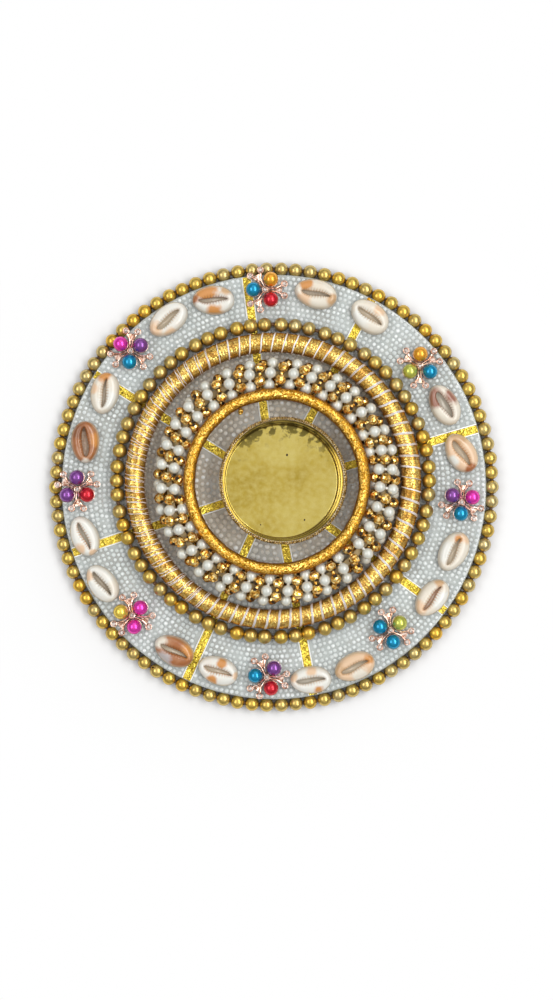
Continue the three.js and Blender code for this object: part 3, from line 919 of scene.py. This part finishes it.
def makeBangle():
    bm = bmesh.new()
    ribLayer = bm.verts.layers.float.new("rib")
    spinRing(bm, roundProfile(bangle["radius"], bangle["tube"], bangle["sides"]),
             bangle["ribs"] * bangle["stepsPerRib"], parts=bangle["parts"])
    for vert in bm.verts:
        around = math.atan2(vert.co.y, vert.co.x) * bangle["ribs"]
        rib = math.cos(around + bangle["ribSway"] * noise.noise(vert.co * bangle["swayScale"]))
        crease = noise.noise(vert.co * bangle["creaseScale"])
        vert[ribLayer] = 0.5 + 0.5 * rib
        vert.co += vert.normal * (bangle["ribDepth"] * rib + bangle["crease"] * crease)
    bmesh.ops.translate(bm, verts=bm.verts[:], vec=bangleCentre)
    addPiece("foil_bangle_round", bm, [goldFoil], ["foil_bangle"])


thread = {
    "turns": 77,
    "width": 0.28 * mm,
    "thickness": 0.2 * mm,
    "crown": 0.6,  # how much of its width its flat top has
    "clearance": 0.16 * mm,
    "steps": 16,
    # the three strands' places along the bangle: between, at its top and on its left
    "bunched": (-0.34 * mm, 0, 0.32 * mm),
    "tight": (-0.18 * mm, 0, 0.18 * mm),
    "apart": (-1.1 * mm, 0.5 * mm, 0.9 * mm),
    # where the top and the left start and end, softly, as shares of the whole round
    "top": (0.17, 0.2, 0.29, 0.34),
    "left": (0.3, 0.42, 0.58, 0.68),
    "still": 50,  # the two ends stay in place over one part in fifty of the round
    "drift": 0.45 * mm,
    # the drift is part slow and part quick, and the quick part is larger on the left
    "sway": 1.2,
    "swayScale": 90,
    "wander": (0.7, 1.2),
    "wanderScale": (260, 40),  # across the bangle, and for the whole round
    "ownWay": (7.7, 3),  # how far the strands differ in both on the left
}


def within(limits, share):
    return smoothStep(*limits[:2], share) * (1 - smoothStep(*limits[2:], share))


def bendStrand(coil, length, strand):
    # the strands drift together as one band, and each in its own way on the left
    bunched, tight, apart = [thread[key][strand] for key in ("bunched", "tight", "apart")]
    acrossScale, roundScale = thread["wanderScale"]
    for vert in coil.verts:
        share = vert.co.x / length
        left, top = within(thread["left"], share), within(thread["top"], share)
        ends = min(1, share * thread["still"], (1 - share) * thread["still"])
        aside = bunched + left * (apart - bunched) + top * (tight - bunched)
        slow = noise.noise(Vector((share * thread["swayScale"], strand * thread["ownWay"][0] * left, 0.5)))
        quick = noise.noise(Vector((vert.co.y * acrossScale, vert.co.z * acrossScale,
                                    share * roundScale + strand * thread["ownWay"][1] * left)))
        wander = thread["wander"][0] + thread["wander"][1] * left
        vert.co.x += ends * (aside + thread["drift"] * (thread["sway"] * slow + wander * quick))


def makeThread():
    bm = bmesh.new()
    half = thread["width"] / 2
    low = bangle["tube"] + thread["clearance"]
    high = low + thread["thickness"]
    crown = half * thread["crown"]
    section = [(-half, low), (-crown, high), (crown, high), (half, low)]
    length = fullTurn * bangle["radius"]
    for strand in range(len(thread["bunched"])):
        coil = bmesh.new()
        straightCoil(coil, section, thread["turns"], thread["steps"], length / thread["turns"])
        bendStrand(coil, length, strand)
        wrapRound(coil, bangle["radius"], bangleCentre, bangleCentre.z)
        strandMesh = meshOf("strand", coil)
        bm.from_mesh(strandMesh)
        bpy.data.meshes.remove(strandMesh)
    addPiece("zari_winding_thread", bm, [silverThread], ["zari_winding"])


makeBangle()
makeThread()
print("bangle ready")


# Beaded ring, with the direction in degrees of each turn of pearls
beadedCentre = middle("core_ring") - Vector((0, 0, 0.45 * mm))
pearlRows = (6.6, 16.8, 27.2, 39.4, 50.5, 60.9, 71.6, 81.2, 93.4, 104.5, 116, 128.8, 140.2, 151.1, 162, 172,
             183.8, 195.3, 206.2, 219, 230.5, 243.2, 253.9, 264.8, 275.9, 286.2, 296, 307.5, 322.5, 333.8,
             345.6, 356.8)
beaded = {
    "core": 48.1 * mm,
    "perTurn": 5,
    "lean": 0.09,
    "besideTurn": 18,  # the line through its two sides is turned clockwise by as many degrees
    "besideFrom": (0.82, 0.88),  # cosines between which the beads turn over
    "pearl": 2.58 * mm,
    "gold": 2.5 * mm,
    "wobble": 0.45,
    "slackPlay": 0.06,
}
# slack says how many steps outwards a turn's beads lie, and how many more beside the cup
windings = {
    "pearl_winding": {"startRow": 0, "slack": (0.07, 0.53), "out": 5.05 * mm, "up": 4.8 * mm,
                      "neck": 0.75 * mm},
    "gold_winding": {"startRow": 0.5, "slack": (0.48, -0.4), "out": 4.8 * mm, "up": 4.8 * mm,
                     "neck": 0.9 * mm},
}


def rowAngle(place):
    low = math.floor(place)
    start, end = [pearlRows[at % len(pearlRows)] + 360 * (at // len(pearlRows)) for at in (low, low + 1)]
    return math.radians(start + (place - low) * (end - start))


def besideCup(angle):
    # 1 to the left and to the right of the cup, where the beads lie the other way on the ring
    return smoothStep(*beaded["besideFrom"], abs(math.cos(angle + math.radians(beaded["besideTurn"]))))


def makeWinding(name, template, beadLook, neckLook, smooth=True):
    look = windings[name]
    rng = random.Random(name)
    spots = []
    for row in range(len(pearlRows)):
        startRow = row + look["startRow"]
        slack = look["slack"][0] + look["slack"][1] * besideCup(rowAngle(startRow))
        slack += rng.uniform(-beaded["slackPlay"], beaded["slackPlay"])
        for step in range(beaded["perTurn"]):
            part = (step - beaded["perTurn"] // 2 - slack) / beaded["perTurn"]
            angle = rowAngle(startRow + part - beaded["lean"] * math.sin(fullTurn * part))
            reach = beaded["core"] - look["out"] * math.sin(fullTurn * part)
            height = beadedCentre.z + look["up"] * math.cos(fullTurn * part)
            spots.append(onCircle(beadedCentre, reach, angle, height))
    places = []
    for at, spot in enumerate(spots):
        along = spots[(at + 1) % len(spots)] - spots[at - 1]
        wobble = Matrix.Rotation(rng.uniform(-beaded["wobble"], beaded["wobble"]), 4,
                                 (rng.uniform(-1, 1), rng.uniform(-1, 1), 0.01))
        spun = Matrix.Rotation(rng.uniform(0, fullTurn), 4, "Z")
        places.append(Matrix.Translation(spot) @ along.to_track_quat("Z", "Y").to_matrix().to_4x4()
                      @ wobble @ spun)
    bm = bmesh.new()
    addCopies(bm, template, places)
    addPiece(f"{name}_beads", bm, [beadLook, holeShadeAndDarkBits], [name], smooth)
    strand = bmesh.new()
    for at, spot in enumerate(spots):
        rod(strand, spots[at - 1], spot, look["neck"], look["neck"])
    addPiece(f"{name}_thread", strand, [neckLook])


makeWinding("pearl_winding", ballMesh("pearl", beaded["pearl"], around=20, rows=14), whitePearl, neckPlastic)
makeWinding("gold_winding", ballMesh("gold bead", beaded["gold"], around=10, rows=8, hole=0.3), copperGold,
            copperGold, smooth=False)
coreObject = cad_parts["core_ring"]
coreObject.data.materials.clear()
coreObject.data.materials.append(ringCore)
print("beaded ring ready")


# Glitter ring
glitterCentre = middle("glitter_ring")
glitterRing = {"radius": 38.9 * mm, "tube": 2.7 * mm, "sides": 22, "steps": 260, "lumps": 0.22 * mm,
               "lumpScale": 170, "lumpSink": 0.2, "grain": 0.5, "grainScale": 650}


def makeGlitterRing():
    bm = bmesh.new()
    spinRing(bm, roundProfile(glitterRing["radius"], glitterRing["tube"], glitterRing["sides"]),
             glitterRing["steps"])
    for vert in bm.verts:
        lump = (noise.noise(vert.co * glitterRing["lumpScale"])
                + glitterRing["grain"] * noise.noise(vert.co * glitterRing["grainScale"]))
        vert.co += vert.normal * glitterRing["lumps"] * (lump - glitterRing["lumpSink"])
    bmesh.ops.translate(bm, verts=bm.verts[:], vec=glitterCentre)
    addPiece("glitter_ring_round", bm, [ringGlitter], ["glitter_ring"])


makeGlitterRing()


# Cup and cord
cupCentre = middle("cup") + Vector((-0.08 * mm, 0.36 * mm, 0))
cup = {
    "floor": 25.7 * mm,
    "lip": 27.6 * mm,
    "foot": 0.6 * mm,
    # its lip from the outside to the inside, inwards and down from its top, in millimetres
    "roll": [(0.6, 1.8), (0.2, 1.2), (0, 0.6), (0.1, 0.15), (0.35, 0), (0.65, 0.25)],
    # the wall's first ridge in the same way, and how far the last one is from it
    "wallStart": (0.85, 0.7),
    "wallRun": (1.15, 9),
    "ridge": 0.13 * mm,
    # the corner at the floor, inwards from the floor's edge and up, in millimetres
    "corner": [(0.25, 0.5), (0.5, 0.1), (0.8, 0), (1.3, 0)],
    # how bright the painted highlight and shade lines on the lip and on each ridge are, downwards
    "rollMarks": [0.5, 0.5, 0.0, 0.8, 1.0, 0.9],
    "ridgeMarks": [0.0, 0.0, 0.1, 0.9, 1.0, 1.0, 0.8, 0.1, 0.0, 0.1, 0.8, 1.0, 0.8, 0.1, 0.0],
    "plainMark": 0.5,
    "lean": (0.075, 0.0145),
    "leanFrom": 6 * mm,
    "steps": 180,
    "specks": [(5.85, 14.4, 0.45), (13.7, -14.8, 0.35), (-6.0, -17.0, 0.25)],
    "speckShape": (1, 1.4, 0.5, 1),
}


def leanCup(bm):
    # the cup's mouth stands a little to the right of its floor
    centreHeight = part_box("cup")[0].z + cup["leanFrom"]
    for vert in bm.verts:
        rise = vert.co.z - centreHeight
        vert.co += Vector((rise * cup["lean"][0], rise * cup["lean"][1], 0))


def markProfile(bm, name, profile, marks):
    # each point of a spun shape gets the mark of its point of the profile
    layer = bm.verts.layers.float.new(name)
    for vert in bm.verts:
        flat = (vert.co.xy.length, vert.co.z)
        nearest = min(range(len(profile)), key=lambda at: math.dist(profile[at], flat))
        vert[layer] = marks[nearest]


def makeCup():
    bottom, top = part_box("cup")[0].z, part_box("cup")[1].z
    lip, floor, foot = cup["lip"], cup["floor"], cup["foot"]
    outside = [(0, bottom), (floor, bottom), (floor + foot, bottom + foot)]
    roll = [(lip - inwards * mm, top - down * mm) for inwards, down in cup["roll"]]
    wall = []
    for at in range(len(cup["ridgeMarks"])):
        down = at / (len(cup["ridgeMarks"]) - 1)
        inwards, low = [start + run * down for start, run in zip(cup["wallStart"], cup["wallRun"])]
        wall.append((lip - inwards * mm + cup["ridge"] * (-1) ** at, top - low * mm))
    corner = [(floor - inwards * mm, cupFloorTop + rise * mm) for inwards, rise in cup["corner"]]
    profile = outside + roll + wall + corner + [(0, cupFloorTop)]
    plain = [cup["plainMark"]]
    marks = plain * len(outside) + cup["rollMarks"] + cup["ridgeMarks"] + plain * (len(corner) + 1)
    bm = bmesh.new()
    spinRing(bm, profile, cup["steps"], closed=False)
    # each point takes the painted highlight or shade of its line
    markProfile(bm, "wallLightAndShade", profile, marks)
    leanCup(bm)
    bmesh.ops.translate(bm, verts=bm.verts[:], vec=(cupCentre.x, cupCentre.y, 0))
    addPiece("cup_gilt", bm, [polishedGilt], ["cup"])
    specks = bmesh.new()
    for across, up, size in cup["specks"]:
        place = Matrix.Translation((across * mm, up * mm, cupFloorTop)) @ Matrix.Diagonal(cup["speckShape"])
        bmesh.ops.create_icosphere(specks, subdivisions=2, radius=size * mm, matrix=place)
    addPiece("cup_specks", specks, [holeShadeAndDarkBits])


cord = {"strand": 0.42 * mm, "sides": 6, "twist": 0.38 * mm, "strands": 2, "pitch": 2.2 * mm,
        "stepsPerTurn": 8, "radius": 27.75 * mm, "below": 0.05 * mm}


def makeCord():
    bm = bmesh.new()
    turns = int(fullTurn * cord["radius"] / cord["pitch"])
    pitch = fullTurn * cord["radius"] / turns
    section = [(along, cord["twist"] + outwards)
               for along, outwards in roundProfile(0, cord["strand"], cord["sides"])]
    for strand in range(cord["strands"]):
        straightCoil(bm, section, turns, cord["stepsPerTurn"], pitch, fullTurn * strand / cord["strands"])
    wrapRound(bm, cord["radius"], cupCentre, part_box("cup")[1].z - cord["below"])
    leanCup(bm)
    addPiece("cup_trim_cord_twist", bm, [goldCord], ["cup_trim_cord"])


makeCup()
makeCord()
print("cup ready")


# Cowries
shellColors = {
    "cream": (0.76, 0.7, 0.59), "white": (0.78, 0.77, 0.71), "peach": (0.76, 0.53, 0.34),
    "orange": (0.62, 0.27, 0.07), "brown": (0.25, 0.09, 0.03), "tan": (0.6, 0.38, 0.2),
    "rust": (0.36, 0.12, 0.03), "rose": (0.32, 0.14, 0.09), "lilac": (0.46, 0.41, 0.4),
    "grey": (0.38, 0.34, 0.28), "clay": (0.28, 0.2, 0.13), "sand": (0.5, 0.39, 0.26),
}
cowries = {
    "long": 9.5 * mm,
    "wide": 6.4 * mm,
    "blunt": 0.07,
    "segments": 96,
    "slotLength": 12.6 * mm,
    "slotTaper": 0.25,
    "bend": 0.5 * mm,
    "bendWave": 2.4,
    "toothStep": 3,  # one point in three lies in a groove, and the teeth stand between
    "tooth": 0.3 * mm,
    "groove": 0.2 * mm,
    "grooveFrom": 0.5,  # shares of the way inwards where the grooves start and where they deepen
    "grooveDeepens": (0.6, 0.9),
}
# turn in degrees, length and width factors, slot width in millimetres, ground, groove and slot colours,
# and coloured spots with their places along and across the shell and their sizes, as shares of half its
# length
cowrieLooks = [
    (0, 1, 1.02, 2.2, "white", "rust", "clay", [
        ("orange", -0.35, 0.5, 0.62), ("orange", 0.05, -0.62, 0.4), ("rust", -0.9, 0, 0.25),
        ("tan", 0.6, 0.5, 0.3)]),
    (38, 1.03, 0.98, 2.8, "white", "tan", "sand", [
        ("peach", -0.85, 0, 0.45), ("peach", -0.3, -0.6, 0.3)]),
    (-15, 1.03, 1.02, 2.3, "cream", "tan", "clay", [
        ("orange", -0.55, 0.35, 0.34), ("peach", -0.5, -0.45, 0.4), ("tan", 0.85, -0.1, 0.3)]),
    (-40, 1, 1.05, 2.4, "cream", "tan", "sand", [
        ("peach", 0.2, 0.6, 0.35), ("white", -0.3, -0.3, 0.5)]),
    (-62, 1.03, 1, 3.4, "cream", "rose", "grey", [
        ("rose", -0.5, -0.3, 0.48), ("rose", -0.25, 0.6, 0.42)]),
    (-58, 1, 1.02, 3.0, "peach", "orange", "sand", [
        ("rust", 0.95, 0, 0.34), ("white", 0.15, -0.6, 0.3), ("tan", -0.7, 0.3, 0.4)]),
    (60, 1, 0.98, 2.4, "cream", "tan", "sand", [
        ("peach", 0.85, -0.2, 0.3), ("white", -0.2, 0.3, 0.5), ("orange", 0.6, 0.1, 0.2)]),
    (50, 1, 0.97, 1.9, "cream", "orange", "rust", [
        ("peach", -0.8, 0.2, 0.4), ("white", 0.2, -0.4, 0.5), ("tan", 0.8, 0.2, 0.25)]),
    (22, 1, 0.97, 2.6, "peach", "tan", "sand", [
        ("orange", 0.75, 0.1, 0.22), ("cream", 0.1, -0.5, 0.45), ("tan", -0.8, 0.2, 0.35)]),
    (3, 0.98, 0.97, 2.3, "white", "tan", "grey", [
        ("peach", 0.05, 0.45, 0.26), ("orange", 0.35, -0.5, 0.24), ("peach", -0.85, 0.2, 0.25)]),
    (-22, 0.98, 0.98, 2.2, "white", "orange", "sand", [
        ("orange", 0.05, 0.42, 0.26), ("orange", -0.1, -0.5, 0.26), ("peach", 0.9, 0.1, 0.2)]),
    (-30, 1, 1.02, 2.2, "rust", "brown", "sand", [
        ("cream", -0.85, 0.1, 0.36), ("lilac", -0.25, -0.6, 0.42), ("orange", 0.6, 0.4, 0.4)]),
    (-55, 0.98, 0.97, 2.3, "white", "sand", "clay", [
        ("peach", -0.7, -0.4, 0.3), ("cream", 0.5, 0.4, 0.4)]),
    (-68, 0.98, 0.97, 2.0, "white", "orange", "grey", [
        ("peach", 0.55, -0.45, 0.32), ("peach", 0.9, 0.1, 0.2)]),
    (90, 1, 1, 3.0, "rust", "brown", "brown", [
        ("brown", 0.5, 0.3, 0.4), ("orange", 0.1, -0.6, 0.35), ("cream", -1.0, 0, 0.22)]),
    (78, 1, 1, 1.9, "cream", "tan", "clay", [
        ("orange", 0.85, 0.2, 0.36), ("peach", 0.1, 0.62, 0.3), ("white", -0.3, -0.3, 0.5)]),
]
# from the shell's rim up and over to its slot: how far inwards and how high, as shares
cowrieProfile = [(0.0, 0.0), (-0.01, 0.2), (0.02, 0.42), (0.08, 0.6), (0.17, 0.75), (0.29, 0.87),
                 (0.43, 0.95), (0.57, 0.99), (0.7, 1.0), (0.81, 0.96), (0.9, 0.88), (0.96, 0.78),
                 (1.0, 0.64), (1.0, 0.46)]


def shellFinish(index, centre, turn, ground, groove, spots):
    material = surface(f"shell {index}", shellColors[ground], 0.2, 0.0, Coat_Weight=0.5,
                       Coat_Roughness=0.08)
    moved = vectorMath(material, "ADD", objectPoint(material), tuple(-part for part in centre))
    place = node(material, "ShaderNodeMapping", {"Vector": moved, "Rotation": (0, 0, -turn)}).outputs[0]
    ragged = calculate(material, "MULTIPLY", noiseValue(material, 260, 4), 1.2)
    color = mixColor(material, patches(material, 160, 3, [(0.45, 0.0), (0.8, 0.3)]), shellColors[ground],
                     shellColors["peach"])
    for spotColor, along, across, size in spots:
        spot = (along * cowries["long"], across * cowries["long"], 0)
        apart = vectorMath(material, "SUBTRACT", place, spot)
        far = vectorMath(material, "LENGTH", vectorMath(material, "MULTIPLY", apart, (1, 1, 0)))
        share = calculate(material, "DIVIDE", far, size * cowries["long"])
        share = calculate(material, "ADD", share, ragged)
        mask = ramp(material, calculate(material, "MULTIPLY", share, 0.5), [(0.62, 1.0), (0.9, 0.0)])
        color = mixColor(material, mask, color, shellColors[spotColor])
    inwards = markOf(material, "shellRing")
    lip = ramp(material, inwards, [(0.68, 0.0), (0.9, 1.0)])
    grooves = ramp(material, markOf(material, "shellTooth"), [(0.2, 0.6), (0.65, 0.0)])
    grooves = calculate(material, "MULTIPLY", lip, grooves)
    mouth = ramp(material, inwards, [(0.93, 0.0), (0.98, 0.75)])
    rim = ramp(material, inwards, [(0.02, 0.75), (0.2, 0.0)])
    for share, shade in ((grooves, groove), (mouth, groove), (rim, "sand")):
        color = mixColor(material, share, color, shellColors[shade])
    paint(material, color)
    return material


slotFills = {}


def slotFinish(color):
    if color not in slotFills:
        material = surface(f"{color} slot", shellColors[color], 0.25, 0.0, Coat_Weight=0.4)
        mottled = noiseValue(material, 900, 2)
        paint(material, mixColor(material, mottled, shellColors[color], (0.52, 0.47, 0.38)))
        slotFills[color] = material
    return slotFills[color]


def shellLoops(bm):
    # stacked circles, one for each point of the profile, bridged into a wall and closed at both ends
    last = len(cowrieProfile) - 1
    loops = []
    for level in range(last + 1):
        loop = bmesh.ops.create_circle(bm, segments=cowries["segments"], radius=1,
                                       matrix=Matrix.Translation((0, 0, level)))
        loops.append(loop["verts"])
        if level:
            edges = [edge for edge in bm.edges if all(vert.co.z > level - 1.5 for vert in edge.verts)]
            bmesh.ops.bridge_loops(bm, edges=edges)
    bmesh.ops.edgeloop_fill(bm, edges=[edge for edge in bm.edges if edge.is_boundary])
    for face in bm.faces:
        if face.calc_center_median().z > last - 1:  # the slot's wall and floor
            face.material_index = 1
    return loops


def makeCowrie(index, turn, longer, wider, slotWidth, ground, groove, slotColor, spots):
    low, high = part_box(f"cowrie_{index}")
    centre = (low + high) / 2
    turned = math.radians(turn)
    bm = bmesh.new()
    ringLayer = bm.verts.layers.float.new("shellRing")
    toothLayer = bm.verts.layers.float.new("shellTooth")
    loops = shellLoops(bm)
    angles = [math.atan2(vert.co.y, vert.co.x) for vert in loops[0]]
    height = high.z - low.z
    for (inwards, rise), loop in zip(cowrieProfile, loops):
        depth = cowries["groove"] * smoothStep(*cowries["grooveDeepens"], inwards)
        for at, (angle, vert) in enumerate(zip(angles, loop)):
            tooth = 0.0 if at % cowries["toothStep"] == 0 else 1.0
            along, across = math.cos(angle), math.sin(angle)
            outer = Vector((cowries["long"] * longer * along,
                            cowries["wide"] * wider * across * (1 + cowries["blunt"] * along)))
            bend = cowries["bend"] * math.sin(cowries["bendWave"] * along)
            inner = Vector((cowries["slotLength"] / 2 * along,
                            slotWidth * mm / 2 * across * (1 - cowries["slotTaper"] * along) + bend))
            if tooth:
                inner.y -= math.copysign(cowries["tooth"], across) * abs(across)
            flat = outer.lerp(inner, inwards)
            lift = height * rise
            if cowries["grooveFrom"] < inwards < 1 and not tooth:
                lift -= depth * abs(across)
            vert.co = (flat.x, flat.y, lift)
            vert[ringLayer] = inwards
            vert[toothLayer] = tooth
    place = Matrix.Translation((centre.x, centre.y, low.z)) @ Matrix.Rotation(turned, 4, "Z")
    bmesh.ops.transform(bm, verts=bm.verts[:], matrix=place)
    bmesh.ops.recalc_face_normals(bm, faces=bm.faces[:])
    shell = shellFinish(index, centre, turned, ground, groove, spots)
    addPiece(f"cowrie_{index}_shell", bm, [shell, slotFinish(slotColor)], [f"cowrie_{index}"])


for index, look in enumerate(cowrieLooks):
    makeCowrie(index + 1, *look)
print("cowries ready")


# Flower charms
pearlColors = {
    "blue": (0.0, 0.32, 0.58),
    "magenta": (0.95, 0.05, 0.52),
    "purple": (0.28, 0.08, 0.38),
    "orange": (1.0, 0.45, 0.03),
    "red": (0.74, 0.012, 0.03),
    "lime": (0.66, 0.7, 0.12),
    "yellow": (0.98, 0.72, 0.1),
}
coloredPearls = {name: coloredPearlFinish(f"{name} pearl", color) for name, color in pearlColors.items()}
charm = {
    "pearl": 3.35 * mm,
    "pearlDistance": 5.2 * mm,
    "pearlHeight": 3.6 * mm,
    "seat": (2.2 * mm, 2.7 * mm, 1.0 * mm),  # lower and upper radius, and height
    "seatRing": (3.05 * mm, 0.36 * mm),  # radius and thickness
    "seatRise": 0.5 * mm,  # this and the other rises are heights above the charm's underside
    "hub": (-1 * mm, 0.8 * mm, 1.5 * mm, 1.35 * mm),  # lower and upper end, and the radius at each
    "hubRise": 1.2 * mm,
    "hubStoneRise": 0.9 * mm,
    "setting": 1.25 * mm,
    "settingBody": (-0.8 * mm, 0.4 * mm, 0.8),  # both ends, and the lower radius as a share of the upper
    "settingRing": (1.28 * mm, 0.26 * mm),
    "prong": 0.34 * mm,
    "prongs": 4,
    "prongRise": 0.6 * mm,
    "stone": 1.12 * mm,
    "stoneBody": (0.35 * mm, 0.95 * mm, 0.55),  # both ends, and the upper radius as a share of the lower
    "wire": 0.42 * mm,
    "wireSwell": 1.3,
    # the two wires of an arm: distance from the hub and to the side, and rise, at the start and at the knee
    "start": (1.2 * mm, 0.5 * mm, 1.5 * mm),
    "knee": (5.0 * mm, 0.75 * mm, 1.3 * mm),
    "tipDistance": 9.1 * mm,
    "tipSpread": 17,
    "tipRise": 0.9 * mm,
    "tipStoneRise": 0.4 * mm,
    # the leaf between them: distance, rise and half width at each end
    "leaf": ((4.4 * mm, 0.8 * mm, 0.3 * mm), (7.6 * mm, 0.7 * mm, 1.5 * mm)),
    "leafFlat": 0.3,
}
# direction of the first pearl in degrees, and the pearls' colours in turn from it
charmLooks = [
    (60.2, ("orange", "blue", "red")), (25.9, ("purple", "magenta", "blue")),
    (89.2, ("orange", "lime", "blue")),
    (90.8, ("purple", "purple", "red")), (24.6, ("magenta", "purple", "blue")),
    (42, ("magenta", "yellow", "magenta")), (51.5, ("purple", "blue", "red")),
    (40.9, ("lime", "blue", "blue")),
]


def smallRing(name, radius, tube):
    bm = bmesh.new()
    spinRing(bm, roundProfile(radius, tube, 8), 24)
    return meshOf(name, bm)


seatRing = smallRing("seat ring", *charm["seatRing"])
settingRing = smallRing("setting ring", *charm["settingRing"])


def charmMiddle(index):
    # the pearls' middle is the charm's, and its three pearls are the highest points of the node
    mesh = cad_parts[f"flower_charm_{index}"].data
    top = max(vert.co.z for vert in mesh.vertices)
    peaks = {tuple(round(part, 5) for part in vert.co.xy) for vert in mesh.vertices
             if vert.co.z > top - 0.01 * mm}
    return Vector((sum(peak[0] for peak in peaks), sum(peak[1] for peak in peaks), 0)) / len(peaks)


def post(bm, foot, low, high, radiusLow, radiusHigh, sides):
    # an upright round bar between two heights over a point
    rod(bm, foot + Vector((0, 0, low)), foot + Vector((0, 0, high)), radiusLow, radiusHigh, sides)


def ball(bm, place, radius):
    bmesh.ops.create_icosphere(bm, subdivisions=2, radius=radius, matrix=Matrix.Translation(place))


def addStone(metal, stones, place):
    setting, stone = charm["setting"], charm["stone"]
    low, high, narrow = charm["settingBody"]
    post(metal, place, low, high, setting * narrow, setting, sides=12)
    addCopies(metal, settingRing, [Matrix.Translation(place + Vector((0, 0, high)))])
    for prong in range(charm["prongs"]):
        angle = fullTurn * (prong + 0.5) / charm["prongs"]
        ball(metal, onCircle(place, setting, angle, place.z + charm["prongRise"]), charm["prong"])
    low, high, narrow = charm["stoneBody"]
    post(stones, place, low, high, stone, stone * narrow, sides=8)


def addPearl(pearls, metal, centre, base, angle, petal):
    seat = onCircle(centre, charm["pearlDistance"], angle, base + charm["seatRise"])
    seatLow, seatHigh, seatTall = charm["seat"]
    post(metal, seat, 0, seatTall, seatLow, seatHigh, sides=20)
    addCopies(metal, seatRing, [Matrix.Translation(seat + Vector((0, 0, seatTall)))])
    place = Matrix.Translation((seat.x, seat.y, base + charm["pearlHeight"]))
    before = len(pearls.faces)
    bmesh.ops.create_uvsphere(pearls, u_segments=28, v_segments=18, radius=charm["pearl"], matrix=place)
    pearls.faces.ensure_lookup_table()
    for face in pearls.faces[before:]:
        face.material_index = petal


def addArm(metal, stones, centre, hub, base, angle):
    # two wires that part towards their stones, with a leaf between them
    for side in (-1, 1):
        start, knee = [onCircle(hub, out, angle, base + rise)
                       + onCircle(Vector(), side * aside, angle + math.pi / 2)
                       for out, aside, rise in (charm["start"], charm["knee"])]
        tip = onCircle(centre, charm["tipDistance"], angle + side * math.radians(charm["tipSpread"]),
                       base + charm["tipRise"])
        rod(metal, start, knee, charm["wire"], charm["wire"], sides=10)
        rod(metal, knee, tip, charm["wire"], charm["wire"] * charm["wireSwell"], sides=10)
        ball(metal, knee, charm["wire"])
        addStone(metal, stones, tip + Vector((0, 0, charm["tipStoneRise"])))
    ends = [(onCircle(centre, out, angle, base + rise), half) for out, rise, half in charm["leaf"]]
    (leafStart, startHalf), (leafEnd, endHalf) = ends
    rod(metal, leafStart, leafEnd, startHalf, endHalf, sides=6, flat=charm["leafFlat"])


def makeCharm(index, turn, colors):
    pearls, metal, stones = bmesh.new(), bmesh.new(), bmesh.new()
    centre = charmMiddle(index)
    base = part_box(f"flower_charm_{index}")[0].z
    hub = Vector((centre.x, centre.y, base + charm["hubRise"]))
    post(metal, hub, *charm["hub"], sides=12)
    addStone(metal, stones, hub + Vector((0, 0, charm["hubStoneRise"])))
    for petal in range(len(colors)):
        angle = math.radians(turn + 120 * petal)
        addPearl(pearls, metal, centre, base, angle, petal)
        addArm(metal, stones, centre, hub, base, angle + math.radians(60))
    addPiece(f"flower_charm_{index}_pearls", pearls, [coloredPearls[color] for color in colors])
    addPiece(f"flower_charm_{index}_metal", metal, [roseGold], [f"flower_charm_{index}"],
             smooth=False)
    addPiece(f"flower_charm_{index}_stones", stones, [clearStone], smooth=False)


for index, look in enumerate(charmLooks):
    makeCharm(index + 1, *look)
print("charms ready")
